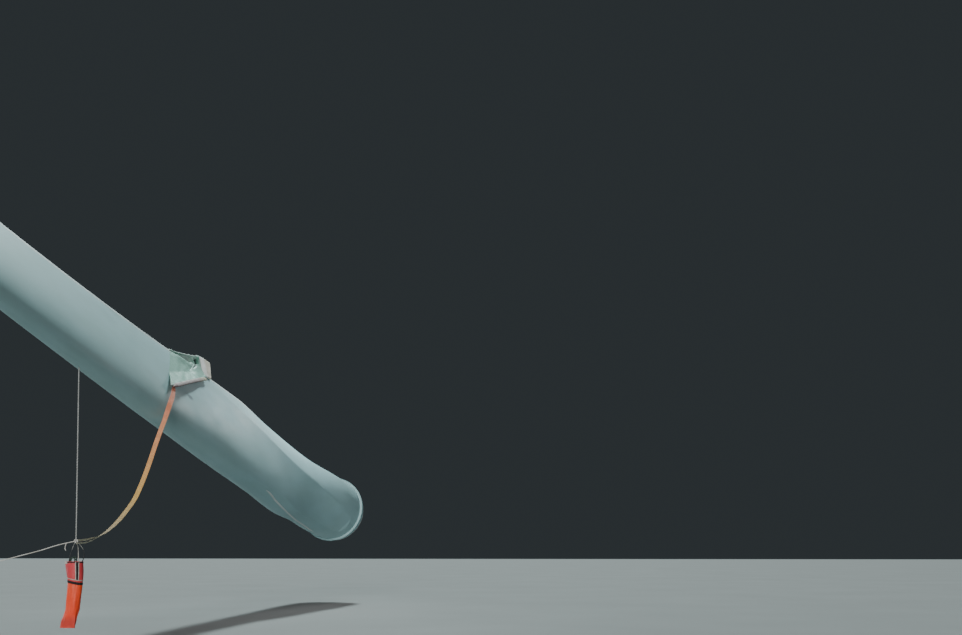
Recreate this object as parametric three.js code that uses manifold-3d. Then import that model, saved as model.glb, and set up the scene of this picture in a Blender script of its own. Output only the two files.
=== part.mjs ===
// Wind turbine blade, 39 m from the root flange to the tip, as it hangs level on its hub.
// Millimetres, +Z up. The origin is the centre of the root face and the span runs out along +X,
// rising by the cone angle. The blade is pitched so that its trailing edge points up.
// A padded cover sits on the trailing edge, and a strap, a rope and a rope bag hang from it.

import * as THREE from 'three';
import { mergeVertices } from 'three/addons/utils/BufferGeometryUtils.js';
import Module from 'manifold-3d';

const wasm = await Module();
wasm.setup();

// Driving dimensions
const SPAN = 39000;
const ROOT_RADIUS = 1000;
const ROOT_WALL = 60;
const TIP_WALL = 14;
// The span rises by the cone angle, and the tip is bent towards the pressure side.
const CONE_DEG = 6.5;
const PREBEND_TIP = 3000;
// The chord stands this steeply at the tip, and is turned further by the twist at the root.
const TIP_PITCH_DEG = 60.6;
const TWIST_DEG = 13;
// Camber over chord, thickness of the trailing edge, and the thickness over chord below which a
// section is a plain aerofoil. Thicker sections blend into the round root.
const CAMBER = 0.02;
const BLUNT_EDGE = 24;
const FOIL_THICKNESS = 0.45;
// Air between neighbours, and between the skin and what is cut to it.
const GAP = 0.3;
const CUT_GAP = 0.5;

// Blade stations: distance along the span, chord, thickness over chord, and the place of the
// pitch axis behind the leading edge over chord.
const STATIONS = [
  { at: 0, chord: 2000, thick: 1.0, axis: 0.5 },
  { at: 1500, chord: 2000, thick: 1.0, axis: 0.5 },
  { at: 3500, chord: 2110, thick: 0.82, axis: 0.45 },
  { at: 6000, chord: 2670, thick: 0.52, axis: 0.38 },
  { at: 8000, chord: 2810, thick: 0.4, axis: 0.33 },
  { at: 10000, chord: 2760, thick: 0.33, axis: 0.33 },
  { at: 14000, chord: 2430, thick: 0.27, axis: 0.325 },
  { at: 20000, chord: 1920, thick: 0.22, axis: 0.32 },
  { at: 26000, chord: 1500, thick: 0.19, axis: 0.31 },
  { at: 32000, chord: 1120, thick: 0.18, axis: 0.305 },
  { at: 36000, chord: 890, thick: 0.17, axis: 0.3 },
  { at: 38000, chord: 655, thick: 0.17, axis: 0.3 },
  { at: 39000, chord: 280, thick: 0.17, axis: 0.3 },
];

// The pressure side is flat between two lines near the root. Each line is a share of the way
// round from the leading edge to the trailing edge, and flat fades from 1 to 0 outboard.
const FLAT_PANEL = [
  { at: 900, low: 0.16, high: 0.17, flat: 1 },
  { at: 1200, low: 0.07, high: 0.25, flat: 1 },
  { at: 2500, low: 0.04, high: 0.31, flat: 1 },
  { at: 4000, low: 0.04, high: 0.375, flat: 1 },
  { at: 5600, low: 0.06, high: 0.43, flat: 0.9 },
  { at: 7000, low: 0.1, high: 0.53, flat: 0.7 },
  { at: 9000, low: 0.1, high: 0.71, flat: 0.45 },
  { at: 12000, low: 0.1, high: 1.0, flat: 0 },
];

// Steps from the leading to the trailing edge, and sides of the round pieces at the root.
const COLUMNS = 16;
const RING_SIDES = 64;

const MATERIALS = {
  gelcoat: new THREE.MeshStandardMaterial({ color: 0xd3dad6, roughness: 0.42, metalness: 0 }),
  laminate: new THREE.MeshStandardMaterial({ color: 0x9aa287, roughness: 0.7, metalness: 0 }),
  steel: new THREE.MeshStandardMaterial({ color: 0x8d9196, roughness: 0.4, metalness: 1 }),
  aluminium: new THREE.MeshStandardMaterial({ color: 0xb9bcbd, roughness: 0.35, metalness: 1 }),
  shield: new THREE.MeshStandardMaterial({ color: 0xc4cac8, roughness: 0.55, metalness: 0 }),
  rubber: new THREE.MeshStandardMaterial({ color: 0x2a2c2e, roughness: 0.8, metalness: 0 }),
  cover: new THREE.MeshStandardMaterial({ color: 0xc3d2c4, roughness: 0.8, metalness: 0 }),
  webbing: new THREE.MeshStandardMaterial({ color: 0xe0906a, roughness: 0.85, metalness: 0 }),
  rope: new THREE.MeshStandardMaterial({ color: 0x8f938f, roughness: 0.9, metalness: 0 }),
  bag: new THREE.MeshStandardMaterial({ color: 0xd4472a, roughness: 0.75, metalness: 0 }),
  bag_band: new THREE.MeshStandardMaterial({ color: 0x1d1c1e, roughness: 0.8, metalness: 0 }),
};

const part = new THREE.Group();
const blade = new THREE.Group();
blade.rotation.y = THREE.MathUtils.degToRad(-CONE_DEG);
part.add(blade);

function addMesh(parent, name, geometry, material) {
  const mesh = new THREE.Mesh(geometry, material);
  mesh.name = name;
  parent.add(mesh);
  return mesh;
}

// Smooth law through the stations that never overshoots them (monotone cubic).
function law(rows, key, x) {
  const last = rows.length - 1;
  if (x <= rows[0].at) return rows[0][key];
  if (x >= rows[last].at) return rows[last][key];
  let i = 0;
  while (x > rows[i + 1].at) i += 1;
  const slope = (k) => (rows[k + 1][key] - rows[k][key]) / (rows[k + 1].at - rows[k].at);
  const tangent = (k) => {
    if (k === 0 || k === last) return 0;
    const before = slope(k - 1);
    const after = slope(k);
    return before * after <= 0 ? 0 : (2 * before * after) / (before + after);
  };
  const run = rows[i + 1].at - rows[i].at;
  const s = (x - rows[i].at) / run;
  const start = rows[i][key] * (1 + 2 * s) * (1 - s) ** 2;
  const end = rows[i + 1][key] * s * s * (3 - 2 * s);
  const leave = tangent(i) * run * s * (1 - s) ** 2;
  const arrive = tangent(i + 1) * run * s * s * (s - 1);
  return start + end + leave + arrive;
}

// Where a point of the section lies: u towards the trailing edge, v towards the pressure side.
function place(x, u, v) {
  const pitch = THREE.MathUtils.degToRad(TIP_PITCH_DEG + TWIST_DEG * (1 - x / SPAN) ** 2);
  const bend = PREBEND_TIP * (x / SPAN) ** 2;
  const bendAngle = THREE.MathUtils.degToRad(TIP_PITCH_DEG);
  const y = bend * Math.sin(bendAngle) - u * Math.cos(pitch) + v * Math.sin(pitch);
  const z = bend * Math.cos(bendAngle) + u * Math.sin(pitch) + v * Math.cos(pitch);
  return new THREE.Vector3(x, y, z);
}

// Half thickness of a four-digit aerofoil of thickness 1, as factors and powers of the share of
// the chord behind the leading edge.
const FOIL_LAW = [[1.4845, 0.5], [-0.63, 1], [-1.758, 2], [1.4215, 3], [-0.518, 4]];

function foilHalf(along) {
  return FOIL_LAW.reduce((sum, [factor, power]) => sum + factor * along ** power, 0);
}

// One side of the section at x. side is 1 for pressure and -1 for suction.
function sectionSide(x, side) {
  const chord = law(STATIONS, 'chord', x);
  const thick = law(STATIONS, 'thick', x);
  const axis = law(STATIONS, 'axis', x);
  const round = THREE.MathUtils.clamp((thick - FOIL_THICKNESS) / (1 - FOIL_THICKNESS), 0, 1);
  const blunt = (BLUNT_EDGE * (1 - round)) / chord;
  const points = [];
  for (let j = 0; j <= COLUMNS; j += 1) {
    const along = (1 - Math.cos((Math.PI * j) / COLUMNS)) / 2;
    const ellipse = thick * Math.sqrt(along * (1 - along));
    const foil = thick * foilHalf(along) + (blunt * along) / 2;
    const mean = -CAMBER * (1 - round) * 4 * along * (1 - along);
    const half = j === 0 || j === COLUMNS ? 0 : round * ellipse + (1 - round) * foil;
    points.push({ u: (along - axis) * chord, half: half * chord, mean: mean * chord });
  }
  if (side > 0) flattenPanel(points, x);
  return points;
}

// Replaces the curve between the two lines of the flat panel by the straight line between them.
function flattenPanel(points, x) {
  const flat = x < FLAT_PANEL[0].at ? 0 : law(FLAT_PANEL, 'flat', x);
  if (flat <= 0) return;
  const low = law(FLAT_PANEL, 'low', x) * COLUMNS;
  const high = law(FLAT_PANEL, 'high', x) * COLUMNS;
  const pick = (j, key) => {
    const k = Math.min(Math.floor(j), COLUMNS - 1);
    return THREE.MathUtils.lerp(points[k][key], points[k + 1][key], j - k);
  };
  const from = { u: pick(low, 'u'), v: pick(low, 'half') + pick(low, 'mean') };
  const to = { u: pick(high, 'u'), v: pick(high, 'half') + pick(high, 'mean') };
  points.forEach((point, j) => {
    if (j <= low || j >= high) return;
    const s = (point.u - from.u) / (to.u - from.u);
    const straight = THREE.MathUtils.lerp(from.v, to.v, s) - point.mean;
    point.half = THREE.MathUtils.lerp(point.half, Math.min(point.half, straight), flat);
  });
}

function wallAt(x) {
  return THREE.MathUtils.lerp(ROOT_WALL, TIP_WALL, Math.min(1, x / SPAN));
}

// Outer or inner line of one shell at x, as section points from leading to trailing edge.
function shellLine(x, side, inset) {
  const chord = law(STATIONS, 'chord', x);
  const axis = law(STATIONS, 'axis', x);
  const middle = (0.5 - axis) * chord;
  const shrink = 1 - (2 * inset) / chord;
  return sectionSide(x, side).map((point) => {
    const half = Math.max(point.half - inset, GAP / 2);
    return { u: middle + (point.u - middle) * shrink, v: point.mean + side * half };
  });
}

function quad(a, b, c, d) {
  return [a, b, c, a, c, d];
}

// Walls between rings of n points each. The two halves of a ring split their quads the same way
// across, so that facing solids keep an even gap.
function walls(rings, n) {
  const triangles = [];
  for (let i = 0; i + 1 < rings.length; i += 1) {
    for (let k = 0; k < n; k += 1) {
      const next = (k + 1) % n;
      const [a, b, c, d] = [i * n + k, i * n + next, (i + 1) * n + next, (i + 1) * n + k];
      triangles.push(...(k < n / 2 ? quad(a, b, c, d) : quad(b, c, d, a)));
    }
  }
  return triangles;
}

// A closed solid through rings of points, for walls that double back. Point k faces point
// n-1-k, and quads between such pairs close both ends.
function loft(rings) {
  const n = rings[0].length;
  const triangles = walls(rings, n);
  const end = (rings.length - 1) * n;
  for (let k = 0; k + 1 < n / 2; k += 1) {
    triangles.push(...quad(k + 1, k, n - 1 - k, n - 2 - k));
    triangles.push(...quad(end + k, end + k + 1, end + n - 2 - k, end + n - 1 - k));
  }
  return solidGeometry(rings.flat(), triangles);
}

// A closed solid through rings of a full outline, closed at both ends by flat fans.
function capped(rings) {
  const n = rings[0].length;
  const triangles = walls(rings, n);
  const end = (rings.length - 1) * n;
  for (let k = 1; k + 1 < n; k += 1) {
    triangles.push(0, k + 1, k);
    triangles.push(end, end + k, end + k + 1);
  }
  return solidGeometry(rings.flat(), triangles);
}

// Triangles are turned outwards when the volume is negative.
function solidGeometry(points, triangles) {
  let volume = 0;
  for (let t = 0; t < triangles.length; t += 3) {
    const [a, b, c] = [points[triangles[t]], points[triangles[t + 1]], points[triangles[t + 2]]];
    volume += a.dot(b.clone().cross(c));
  }
  const index = volume < 0 ? triangles.slice().reverse() : triangles;
  const geometry = new THREE.BufferGeometry().setFromPoints(points);
  geometry.setIndex(index);
  geometry.computeVertexNormals();
  return geometry;
}

function toManifold(geometry) {
  const bare = geometry.clone();
  bare.deleteAttribute('normal');
  bare.deleteAttribute('uv');
  const merged = mergeVertices(bare, 1e-4);
  const vertProperties = new Float32Array(merged.attributes.position.array);
  const triVerts = new Uint32Array(merged.index.array);
  return new wasm.Manifold(new wasm.Mesh({ numProp: 3, vertProperties, triVerts }));
}

function fromManifold(solid) {
  const mesh = solid.getMesh();
  const geometry = new THREE.BufferGeometry();
  geometry.setAttribute('position', new THREE.BufferAttribute(new Float32Array(mesh.vertProperties), 3));
  geometry.setIndex(new THREE.BufferAttribute(new Uint32Array(mesh.triVerts), 1));
  geometry.computeVertexNormals();
  return geometry;
}

// Stations of the shells, closer together near the root and at the tip.
const FLANGE_DEPTH = 60;
const TIP_BLOCK_LENGTH = 320;
const SHELL_START = FLANGE_DEPTH + GAP;
const SHELL_END = SPAN - TIP_BLOCK_LENGTH - GAP;
const COVER_FROM = 10700;
const COVER_TO = 12400;
const SHELL_STATIONS = [SHELL_START, 500, 900, 1200, 1800, 2500, 3200, 4000, 4800, 5600, 6300, 7000,
  8000, 9000, 10000, COVER_FROM, 11500, COVER_TO, 13200, 14000, 16000, 18000, 20000, 22500,
  25000, 27500, 30000, 32500, 35000, 36500, 37600, SHELL_END];

function shellSolid(side) {
  const rings = SHELL_STATIONS.map((x) => {
    const outer = shellLine(x, side, 0).map((p) => place(x, p.u, p.v));
    const inner = shellLine(x, side, wallAt(x)).map((p) => place(x, p.u, p.v));
    return [...outer, ...inner.reverse()];
  });
  return loft(rings);
}

addMesh(blade, 'pressure_shell', shellSolid(1), MATERIALS.gelcoat);
addMesh(blade, 'suction_shell', shellSolid(-1), MATERIALS.gelcoat);

// Spar caps: thick bands bonded on the inside of each shell between two columns of its grid.
const CAP_FIRST = 5;
const CAP_LAST = 8;
const CAP_THICKNESS = 30;
const CAP_FROM = 1200;
const CAP_TO = 35000;
const CAP_STATIONS = SHELL_STATIONS.filter((x) => x >= CAP_FROM && x <= CAP_TO);

function insideLine(x, side, depth) {
  return shellLine(x, side, wallAt(x))
    .slice(CAP_FIRST, CAP_LAST + 1)
    .map((p) => place(x, p.u, p.v - side * depth));
}

function capSolid(side) {
  return loft(
    CAP_STATIONS.map((x) => [...insideLine(x, side, GAP), ...insideLine(x, side, CAP_THICKNESS).reverse()]),
  );
}

addMesh(blade, 'pressure_spar_cap', capSolid(1), MATERIALS.laminate);
addMesh(blade, 'suction_spar_cap', capSolid(-1), MATERIALS.laminate);

// Shear webs: upright walls between the caps, cut to the hollow between them.
const WEB_THICKNESS = 30;
const WEB_COLUMNS = { leading_web: 5.5, trailing_web: 7.5 };

function webSolid(column) {
  const between = toManifold(
    loft(
      CAP_STATIONS.map((x) => [
        ...insideLine(x, 1, CAP_THICKNESS + GAP),
        ...insideLine(x, -1, CAP_THICKNESS + GAP).reverse(),
      ]),
    ),
  );
  const slab = loft(
    CAP_STATIONS.map((x) => {
      const line = shellLine(x, 1, wallAt(x));
      const k = Math.floor(column);
      const u = THREE.MathUtils.lerp(line[k].u, line[k + 1].u, column - k);
      const half = WEB_THICKNESS / 2;
      const reach = ROOT_RADIUS;
      return [place(x, u - half, -reach), place(x, u - half, reach), place(x, u + half, reach),
        place(x, u + half, -reach)];
    }),
  );
  return fromManifold(between.intersect(toManifold(slab)));
}

for (const [name, column] of Object.entries(WEB_COLUMNS)) {
  addMesh(blade, name, webSolid(column), MATERIALS.laminate);
}

// The whole outline of the section at x, grown outwards by grow.
function outlineRing(x, grow) {
  const pressure = shellLine(x, 1, -grow);
  const suction = shellLine(x, -1, -grow);
  const edgePoints = [0, COLUMNS].map((j) => {
    const outwards = j === 0 ? -grow : grow;
    return { u: pressure[j].u + outwards, v: (pressure[j].v + suction[j].v) / 2 };
  });
  return [edgePoints[0], ...pressure.slice(1, -1), edgePoints[1], ...suction.slice(1, -1).reverse()];
}

// Tip: a solid metal block that takes lightning, rounded off from the shells to a small end.
const TIP_STEPS = [0, 0.35, 0.65, 0.87, 1];
const TIP_ROUNDING = 0.93;

function tipSolid() {
  const from = SPAN - TIP_BLOCK_LENGTH;
  const rings = TIP_STEPS.map((s) => {
    const shrink = Math.sqrt(1 - TIP_ROUNDING * s * s);
    return outlineRing(from, 0).map((p) => place(from + TIP_BLOCK_LENGTH * s, p.u * shrink, p.v * shrink));
  });
  return capped(rings);
}

addMesh(blade, 'tip_block', tipSolid(), MATERIALS.aluminium);

// Root: a steel ring closes the laminate, and a bulkhead with a hatch fills the ring.
const FLANGE_INNER = 860;
const BULKHEAD_THICKNESS = 24;
const HATCH_RADIUS = 290;
const HATCH_DROP = 420;
const HATCH_RECESS = 2;
const HATCH_SIDES = 40;
const COLLAR_AT = 420;
const COLLAR_WIDTH = 60;
const COLLAR_HEIGHT = 70;

function lathe(profile, sides = RING_SIDES) {
  const outline = profile.map(([r, x]) => new THREE.Vector2(r, x));
  const geometry = new THREE.LatheGeometry(outline, sides);
  geometry.rotateZ(-Math.PI / 2);
  return geometry;
}

function ringSolid(inner, outer, from, to) {
  return lathe([[inner, from], [outer, from], [outer, to], [inner, to], [inner, from]]);
}

function discSolid(radius, from, to, sides = RING_SIDES) {
  return lathe([[0, from], [radius, from], [radius, to], [0, to]], sides);
}

function cut(geometry, tool) {
  return fromManifold(toManifold(geometry).subtract(toManifold(tool)));
}

function hatchDisc(radius, from, to) {
  return discSolid(radius, from, to, HATCH_SIDES).translate(0, 0, -HATCH_DROP);
}

// The skin between stations as one full solid, grown outwards by grow. It cuts what lies on it.
function skinSolid(stations, grow) {
  return capped(stations.map((x) => outlineRing(x, grow).map((p) => place(x, p.u, p.v))));
}

addMesh(blade, 'root_flange', ringSolid(FLANGE_INNER, ROOT_RADIUS, 0, FLANGE_DEPTH), MATERIALS.steel);
const bulkheadDisc = discSolid(FLANGE_INNER - GAP, 0, BULKHEAD_THICKNESS);
const hatchHole = hatchDisc(HATCH_RADIUS, -BULKHEAD_THICKNESS, 2 * BULKHEAD_THICKNESS);
addMesh(blade, 'root_bulkhead', cut(bulkheadDisc, hatchHole), MATERIALS.laminate);
const hatch = hatchDisc(HATCH_RADIUS - GAP, HATCH_RECESS, BULKHEAD_THICKNESS);
addMesh(blade, 'hatch_cover', hatch, MATERIALS.aluminium);
const collarDisc = discSolid(ROOT_RADIUS + COLLAR_HEIGHT, COLLAR_AT, COLLAR_AT + COLLAR_WIDTH);
const collarBore = skinSolid([COLLAR_AT - COLLAR_WIDTH, COLLAR_AT + 2 * COLLAR_WIDTH], GAP);
addMesh(blade, 'rain_collar', cut(collarDisc, collarBore), MATERIALS.gelcoat);

// Two upright bow handles on the hatch cover.
const HANDLE_LENGTH = 160;
const HANDLE_REACH = 45;
const HANDLE_BAR = 14;
const HANDLE_SPREAD = 330;

function handleSolid() {
  const half = HANDLE_LENGTH / 2;
  const bar = HANDLE_BAR;
  const corners = [[-half, 0], [-half, HANDLE_REACH], [half, HANDLE_REACH], [half, 0], [half - bar, 0],
    [half - bar, HANDLE_REACH - bar], [bar - half, HANDLE_REACH - bar], [bar - half, 0]];
  const outline = new THREE.Shape(corners.map(([z, x]) => new THREE.Vector2(-x, z)));
  const geometry = new THREE.ExtrudeGeometry(outline, { depth: bar, bevelEnabled: false });
  return geometry.translate(0, 0, -bar / 2).rotateX(Math.PI / 2);
}

for (const [name, side] of [['hatch_handle_left', -1], ['hatch_handle_right', 1]]) {
  const handle = addMesh(blade, name, handleSolid(), MATERIALS.steel);
  handle.position.set(HATCH_RECESS - GAP, (side * HANDLE_SPREAD) / 2, -HATCH_DROP);
}

// A point on the faceted skin of a shell, lifted off it. column may lie between two columns.
function skinPoint(x, column, side, lift) {
  let i = 0;
  while (i + 2 < SHELL_STATIONS.length && x > SHELL_STATIONS[i + 1]) i += 1;
  const [from, to] = [SHELL_STATIONS[i], SHELL_STATIONS[i + 1]];
  const k = Math.min(Math.floor(column), COLUMNS - 1);
  const atStation = (station) => {
    const line = shellLine(station, side, 0);
    const u = THREE.MathUtils.lerp(line[k].u, line[k + 1].u, column - k);
    const v = THREE.MathUtils.lerp(line[k].v, line[k + 1].v, column - k);
    return place(station, u, v + side * lift);
  };
  return atStation(from).lerp(atStation(to), (x - from) / (to - from));
}

// What rests on the skin at x is cut to it, with the skin grown by the gap between them.
const SKIN_REACH = 3500;

function cutToSkin(geometry, x) {
  const stations = SHELL_STATIONS.filter((station) => Math.abs(station - x) <= SKIN_REACH);
  return cut(geometry, skinSolid(stations, CUT_GAP));
}

// Lightning receptors: flat metal discs on both skins, half way out and beyond. A drain plug of
// the same kind lies near the tip.
const RECEPTOR_STATIONS = [21000, 31000, 37000];
const RECEPTOR_COLUMN = 6.5;
const RECEPTOR_RADIUS = 28;
const RECEPTOR_HEIGHT = 6;
const PLUG = { at: 37900, column: 12.5, radius: 14, height: 5 };
const DISC_SIDES = 24;

function discOnSkin(x, column, side, radius, height) {
  const seat = skinPoint(x, column, side, 0);
  const along = skinPoint(x + 100, column, side, 0).sub(seat).normalize();
  const across = skinPoint(x, column + 0.2, side, 0).sub(seat).normalize();
  const normal = along.clone().cross(across).normalize();
  if (normal.dot(skinPoint(x, column, side, 100).sub(seat)) < 0) normal.negate();
  const disc = new THREE.CylinderGeometry(radius, radius, height + CUT_GAP, DISC_SIDES);
  disc.applyQuaternion(new THREE.Quaternion().setFromUnitVectors(new THREE.Vector3(0, 1, 0), normal));
  const lift = seat.clone().addScaledVector(normal, height / 2);
  return cutToSkin(disc.translate(lift.x, lift.y, lift.z), x);
}

RECEPTOR_STATIONS.forEach((x, i) => {
  for (const [word, side] of [['pressure', 1], ['suction', -1]]) {
    const disc = discOnSkin(x, RECEPTOR_COLUMN, side, RECEPTOR_RADIUS, RECEPTOR_HEIGHT);
    addMesh(blade, `receptor_${word}_${i + 1}`, disc, MATERIALS.aluminium);
  }
});
const plug = discOnSkin(PLUG.at, PLUG.column, -1, PLUG.radius, PLUG.height);
addMesh(blade, 'drain_plug', plug, MATERIALS.rubber);

// Leading edge shield: a thin skin bonded over the outer third of the leading edge.
const SHIELD_FROM = 25000;
const SHIELD_GAP = 0.9;
const SHIELD_THICKNESS = 5;
const SHIELD_COLUMNS = [3, 2, 1, 0];

function shieldLine(x, lift) {
  const pressure = SHIELD_COLUMNS.map((j) => shellLine(x, 1, -lift)[j]);
  const suction = SHIELD_COLUMNS.slice(0, -1).map((j) => shellLine(x, -1, -lift)[j]).reverse();
  return [...pressure, ...suction].map((p) => place(x, p.u, p.v));
}

const shield = loft(
  SHELL_STATIONS.filter((x) => x >= SHIELD_FROM).map((x) => [
    ...shieldLine(x, SHIELD_GAP + SHIELD_THICKNESS),
    ...shieldLine(x, SHIELD_GAP).reverse(),
  ]),
);
addMesh(blade, 'leading_edge_shield', shield, MATERIALS.shield);

// Trailing edge cover: a padded saddle over the trailing edge. The hem of its front flap is a
// straight line that hangs lower farther out, and its ridge rises to the block at its root end.
const HEM_TO = 13970;
const FRONT_SHORT = 270;
const FRONT_LONG = 1600;
const BACK_DROP = 520;
const EDGE_DROP = 35;
const RIDGE_HALF_WIDTH = 140;
const RIDGE_HIGH = 345;
const RIDGE_LOW = 8;
// The ridge narrows and falls outboard, the latter by a power of the distance to its end.
const RIDGE_NARROWING = 0.85;
const RIDGE_POWER = 1.3;
const COVER_STEPS = 7;
// Rows down the two flaps: the share of the drop, and how far the outside stands off the skin at
// the block and at the cover's outer end.
const FRONT_ROWS = [
  { share: 1, near: 90, far: 75 },
  { share: 0.62, near: 100, far: 45 },
  { share: 0.3, near: 105, far: 30 },
  { share: 0, near: 110, far: 20 },
];
const BACK_ROWS = [
  { share: 0, near: 110, far: 20 },
  { share: 0.5, near: 75, far: 35 },
  { share: 1, near: 40, far: 40 },
];
// The inside reaches this far into the blade before it is cut.
const INSIDE_LIFT = -40;
const INSIDE_DEPTH = 150;
const INSIDE_HALF_WIDTH = 4;

function columnAt(x, drop) {
  const along = 1 - drop / law(STATIONS, 'chord', x);
  return (Math.acos(1 - 2 * along) / Math.PI) * COLUMNS;
}

// A point of a flap: s from the block to the outer end, share from the edge down to the hem.
function flapPoint(s, share, side, lift) {
  const edge = THREE.MathUtils.lerp(COVER_FROM, COVER_TO, s);
  const hem = side > 0 ? THREE.MathUtils.lerp(COVER_FROM, HEM_TO, s) : edge;
  const x = THREE.MathUtils.lerp(edge, hem, share);
  const full = side > 0 ? THREE.MathUtils.lerp(FRONT_SHORT, FRONT_LONG, s) : BACK_DROP;
  return skinPoint(x, columnAt(x, THREE.MathUtils.lerp(EDGE_DROP, full, share)), side, lift);
}

function edgePoint(x, rise, v) {
  const tail = (1 - law(STATIONS, 'axis', x)) * law(STATIONS, 'chord', x);
  return place(x, tail + rise, v);
}

function coverRing(s) {
  const x = THREE.MathUtils.lerp(COVER_FROM, COVER_TO, s);
  const rise = RIDGE_LOW + (RIDGE_HIGH - RIDGE_LOW) * (1 - s) ** RIDGE_POWER;
  const half = RIDGE_HALF_WIDTH * (1 - s * RIDGE_NARROWING);
  const outside = (row, side) => flapPoint(s, row.share, side, THREE.MathUtils.lerp(row.near, row.far, s));
  const outer = [
    ...FRONT_ROWS.map((row) => outside(row, 1)),
    edgePoint(x, rise, half),
    edgePoint(x, rise, -half),
    ...BACK_ROWS.map((row) => outside(row, -1)),
  ];
  const inner = [
    ...FRONT_ROWS.map((row) => flapPoint(s, row.share, 1, INSIDE_LIFT)),
    edgePoint(x, -INSIDE_DEPTH, INSIDE_HALF_WIDTH),
    edgePoint(x, -INSIDE_DEPTH, -INSIDE_HALF_WIDTH),
    ...BACK_ROWS.map((row) => flapPoint(s, row.share, -1, INSIDE_LIFT)),
  ];
  return [...outer, ...inner.reverse()];
}

const coverSteps = Array.from({ length: COVER_STEPS }, (_, k) => k / (COVER_STEPS - 1));
const cover = cutToSkin(loft(coverSteps.map(coverRing)), COVER_TO);
addMesh(blade, 'edge_cover', cover, MATERIALS.cover);

// The block sits astride the trailing edge at the root end of the cover. Each row gives how far
// its top stands above the edge and how far its two feet hang below it.
const BLOCK_FOOT = 115;
const BLOCK_ROWS = [
  { at: 10100, rise: 430, drop: 90 },
  { at: 10400, rise: 410, drop: 150 },
  { at: COVER_FROM - GAP, rise: RIDGE_HIGH, drop: 210 },
];

function blockRing({ at, rise, drop }) {
  return [[-drop, BLOCK_FOOT], [rise, RIDGE_HALF_WIDTH], [rise, -RIDGE_HALF_WIDTH], [-drop, -BLOCK_FOOT]]
    .map(([u, v]) => edgePoint(at, u, v));
}

addMesh(blade, 'edge_block', cutToSkin(loft(BLOCK_ROWS.map(blockRing)), COVER_FROM), MATERIALS.cover);

// Rigging below the blade, in true upright axes. A strap from the cover's lower corner and a rope
// from the leading edge meet in a knot, and a rope bag hangs from the knot. A tag line leads off
// to one side. Each end runs on into what holds it and is cut there, with a gap between the two.
const KNOT = new THREE.Vector3(16900, 741, -1209);
const KNOT_RADIUS = 48;
const ROPE_AT = 17450;
const ROPE_RADIUS = 10;
const ROPE_TUCK = 30;
const STRAP_WIDTH = 100;
const STRAP_THICKNESS = 14;
const STRAP_STEPS = 40;
const TAG_RADIUS = 8;
const LOOP_RADIUS = 55;

function upright(geometry) {
  return geometry.clone().rotateY(blade.rotation.y);
}

function knotBall(radius) {
  return new THREE.IcosahedronGeometry(radius, 1).translate(KNOT.x, KNOT.y, KNOT.z);
}

addMesh(part, 'rigging_knot', knotBall(KNOT_RADIUS), MATERIALS.rope);
const knotSeat = knotBall(KNOT_RADIUS + CUT_GAP);

function cordSolid(points, section, steps) {
  const extrudePath = new THREE.CatmullRomCurve3(points);
  return new THREE.ExtrudeGeometry(new THREE.Shape(section), { steps, extrudePath, bevelEnabled: false });
}

function roundSection(radius, sides = 8) {
  return Array.from({ length: sides }, (_, k) => {
    const a = (2 * Math.PI * k) / sides;
    return new THREE.Vector2(radius * Math.cos(a), radius * Math.sin(a));
  });
}

// A flat strap's section, with its four corners cut off.
function flatSection(width, thickness) {
  const [w, t] = [width / 2, thickness / 2];
  const chamfer = t * 0.4;
  const side = [[w - chamfer, -t], [w, chamfer - t], [w, t - chamfer], [w - chamfer, t]];
  const otherSide = side.map(([a, b]) => [-a, -b]);
  return [...side, ...otherSide].map(([a, b]) => new THREE.Vector2(a, b));
}

function vectors(route) {
  return route.map(([x, y, z]) => new THREE.Vector3(x, y, z));
}

// The rope leaves the lowest point of the section, from just inside the skin.
const ropeRing = outlineRing(ROPE_AT, 0).map((p) => place(ROPE_AT, p.u, p.v).applyEuler(blade.rotation));
const ropeTop = ropeRing.reduce((low, p) => (p.z < low.z ? p : low));
const ropeAim = KNOT.clone().sub(ropeTop).normalize();
const ropeStart = ropeTop.clone().addScaledVector(ropeAim, -ROPE_TUCK);
const rope = cordSolid([ropeStart, KNOT], roundSection(ROPE_RADIUS), 2);
const ropeStations = SHELL_STATIONS.filter((x) => Math.abs(x - ROPE_AT) <= SKIN_REACH);
const ropeBelow = cut(rope, upright(skinSolid(ropeStations, CUT_GAP)));
addMesh(part, 'drop_rope', cut(ropeBelow, knotSeat), MATERIALS.rope);

// The strap is sewn to the cover's outermost corner, so it starts there. Its route begins short
// of the corner, and a block takes that first stretch away.
const STRAP_ROUTE = [[13482, 478, 2049], [13582, 538, 1999], [13795, 650, 1913], [14097, 790, 1702],
  [14400, 880, 1400], [14520, 880, 1145], [14578, 832, 883], [14625, 790, 643], [14696, 770, 412],
  [14808, 765, 162], [14986, 765, -154], [15192, 765, -445], [15409, 765, -637], [15653, 764, -825],
  [15925, 762, -990], [16226, 757, -1116], [16528, 750, -1171], [16876, 741, -1203]];
const strapPoints = vectors(STRAP_ROUTE);
// Its broad side lies on the skin at the top. Lower down its width turns to point along Y.
const STRAP_TOP_ACROSS = new THREE.Vector3(-0.69, 0.3, -0.66);
const STRAP_LOW_ACROSS = new THREE.Vector3(0, 1, 0);
const STRAP_TURN = 0.3;

function strapSolid() {
  const curve = new THREE.CatmullRomCurve3(strapPoints);
  const rings = Array.from({ length: STRAP_STEPS + 1 }, (_, k) => {
    const share = k / STRAP_STEPS;
    const along = curve.getTangentAt(share);
    const turned = THREE.MathUtils.smoothstep(share, 0, STRAP_TURN);
    const across = STRAP_TOP_ACROSS.clone().lerp(STRAP_LOW_ACROSS, turned).projectOnPlane(along).normalize();
    const up = along.clone().cross(across);
    return flatSection(STRAP_WIDTH, STRAP_THICKNESS).map((p) => {
      return curve.getPointAt(share).addScaledVector(across, p.x).addScaledVector(up, p.y);
    });
  });
  return capped(rings);
}

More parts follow.
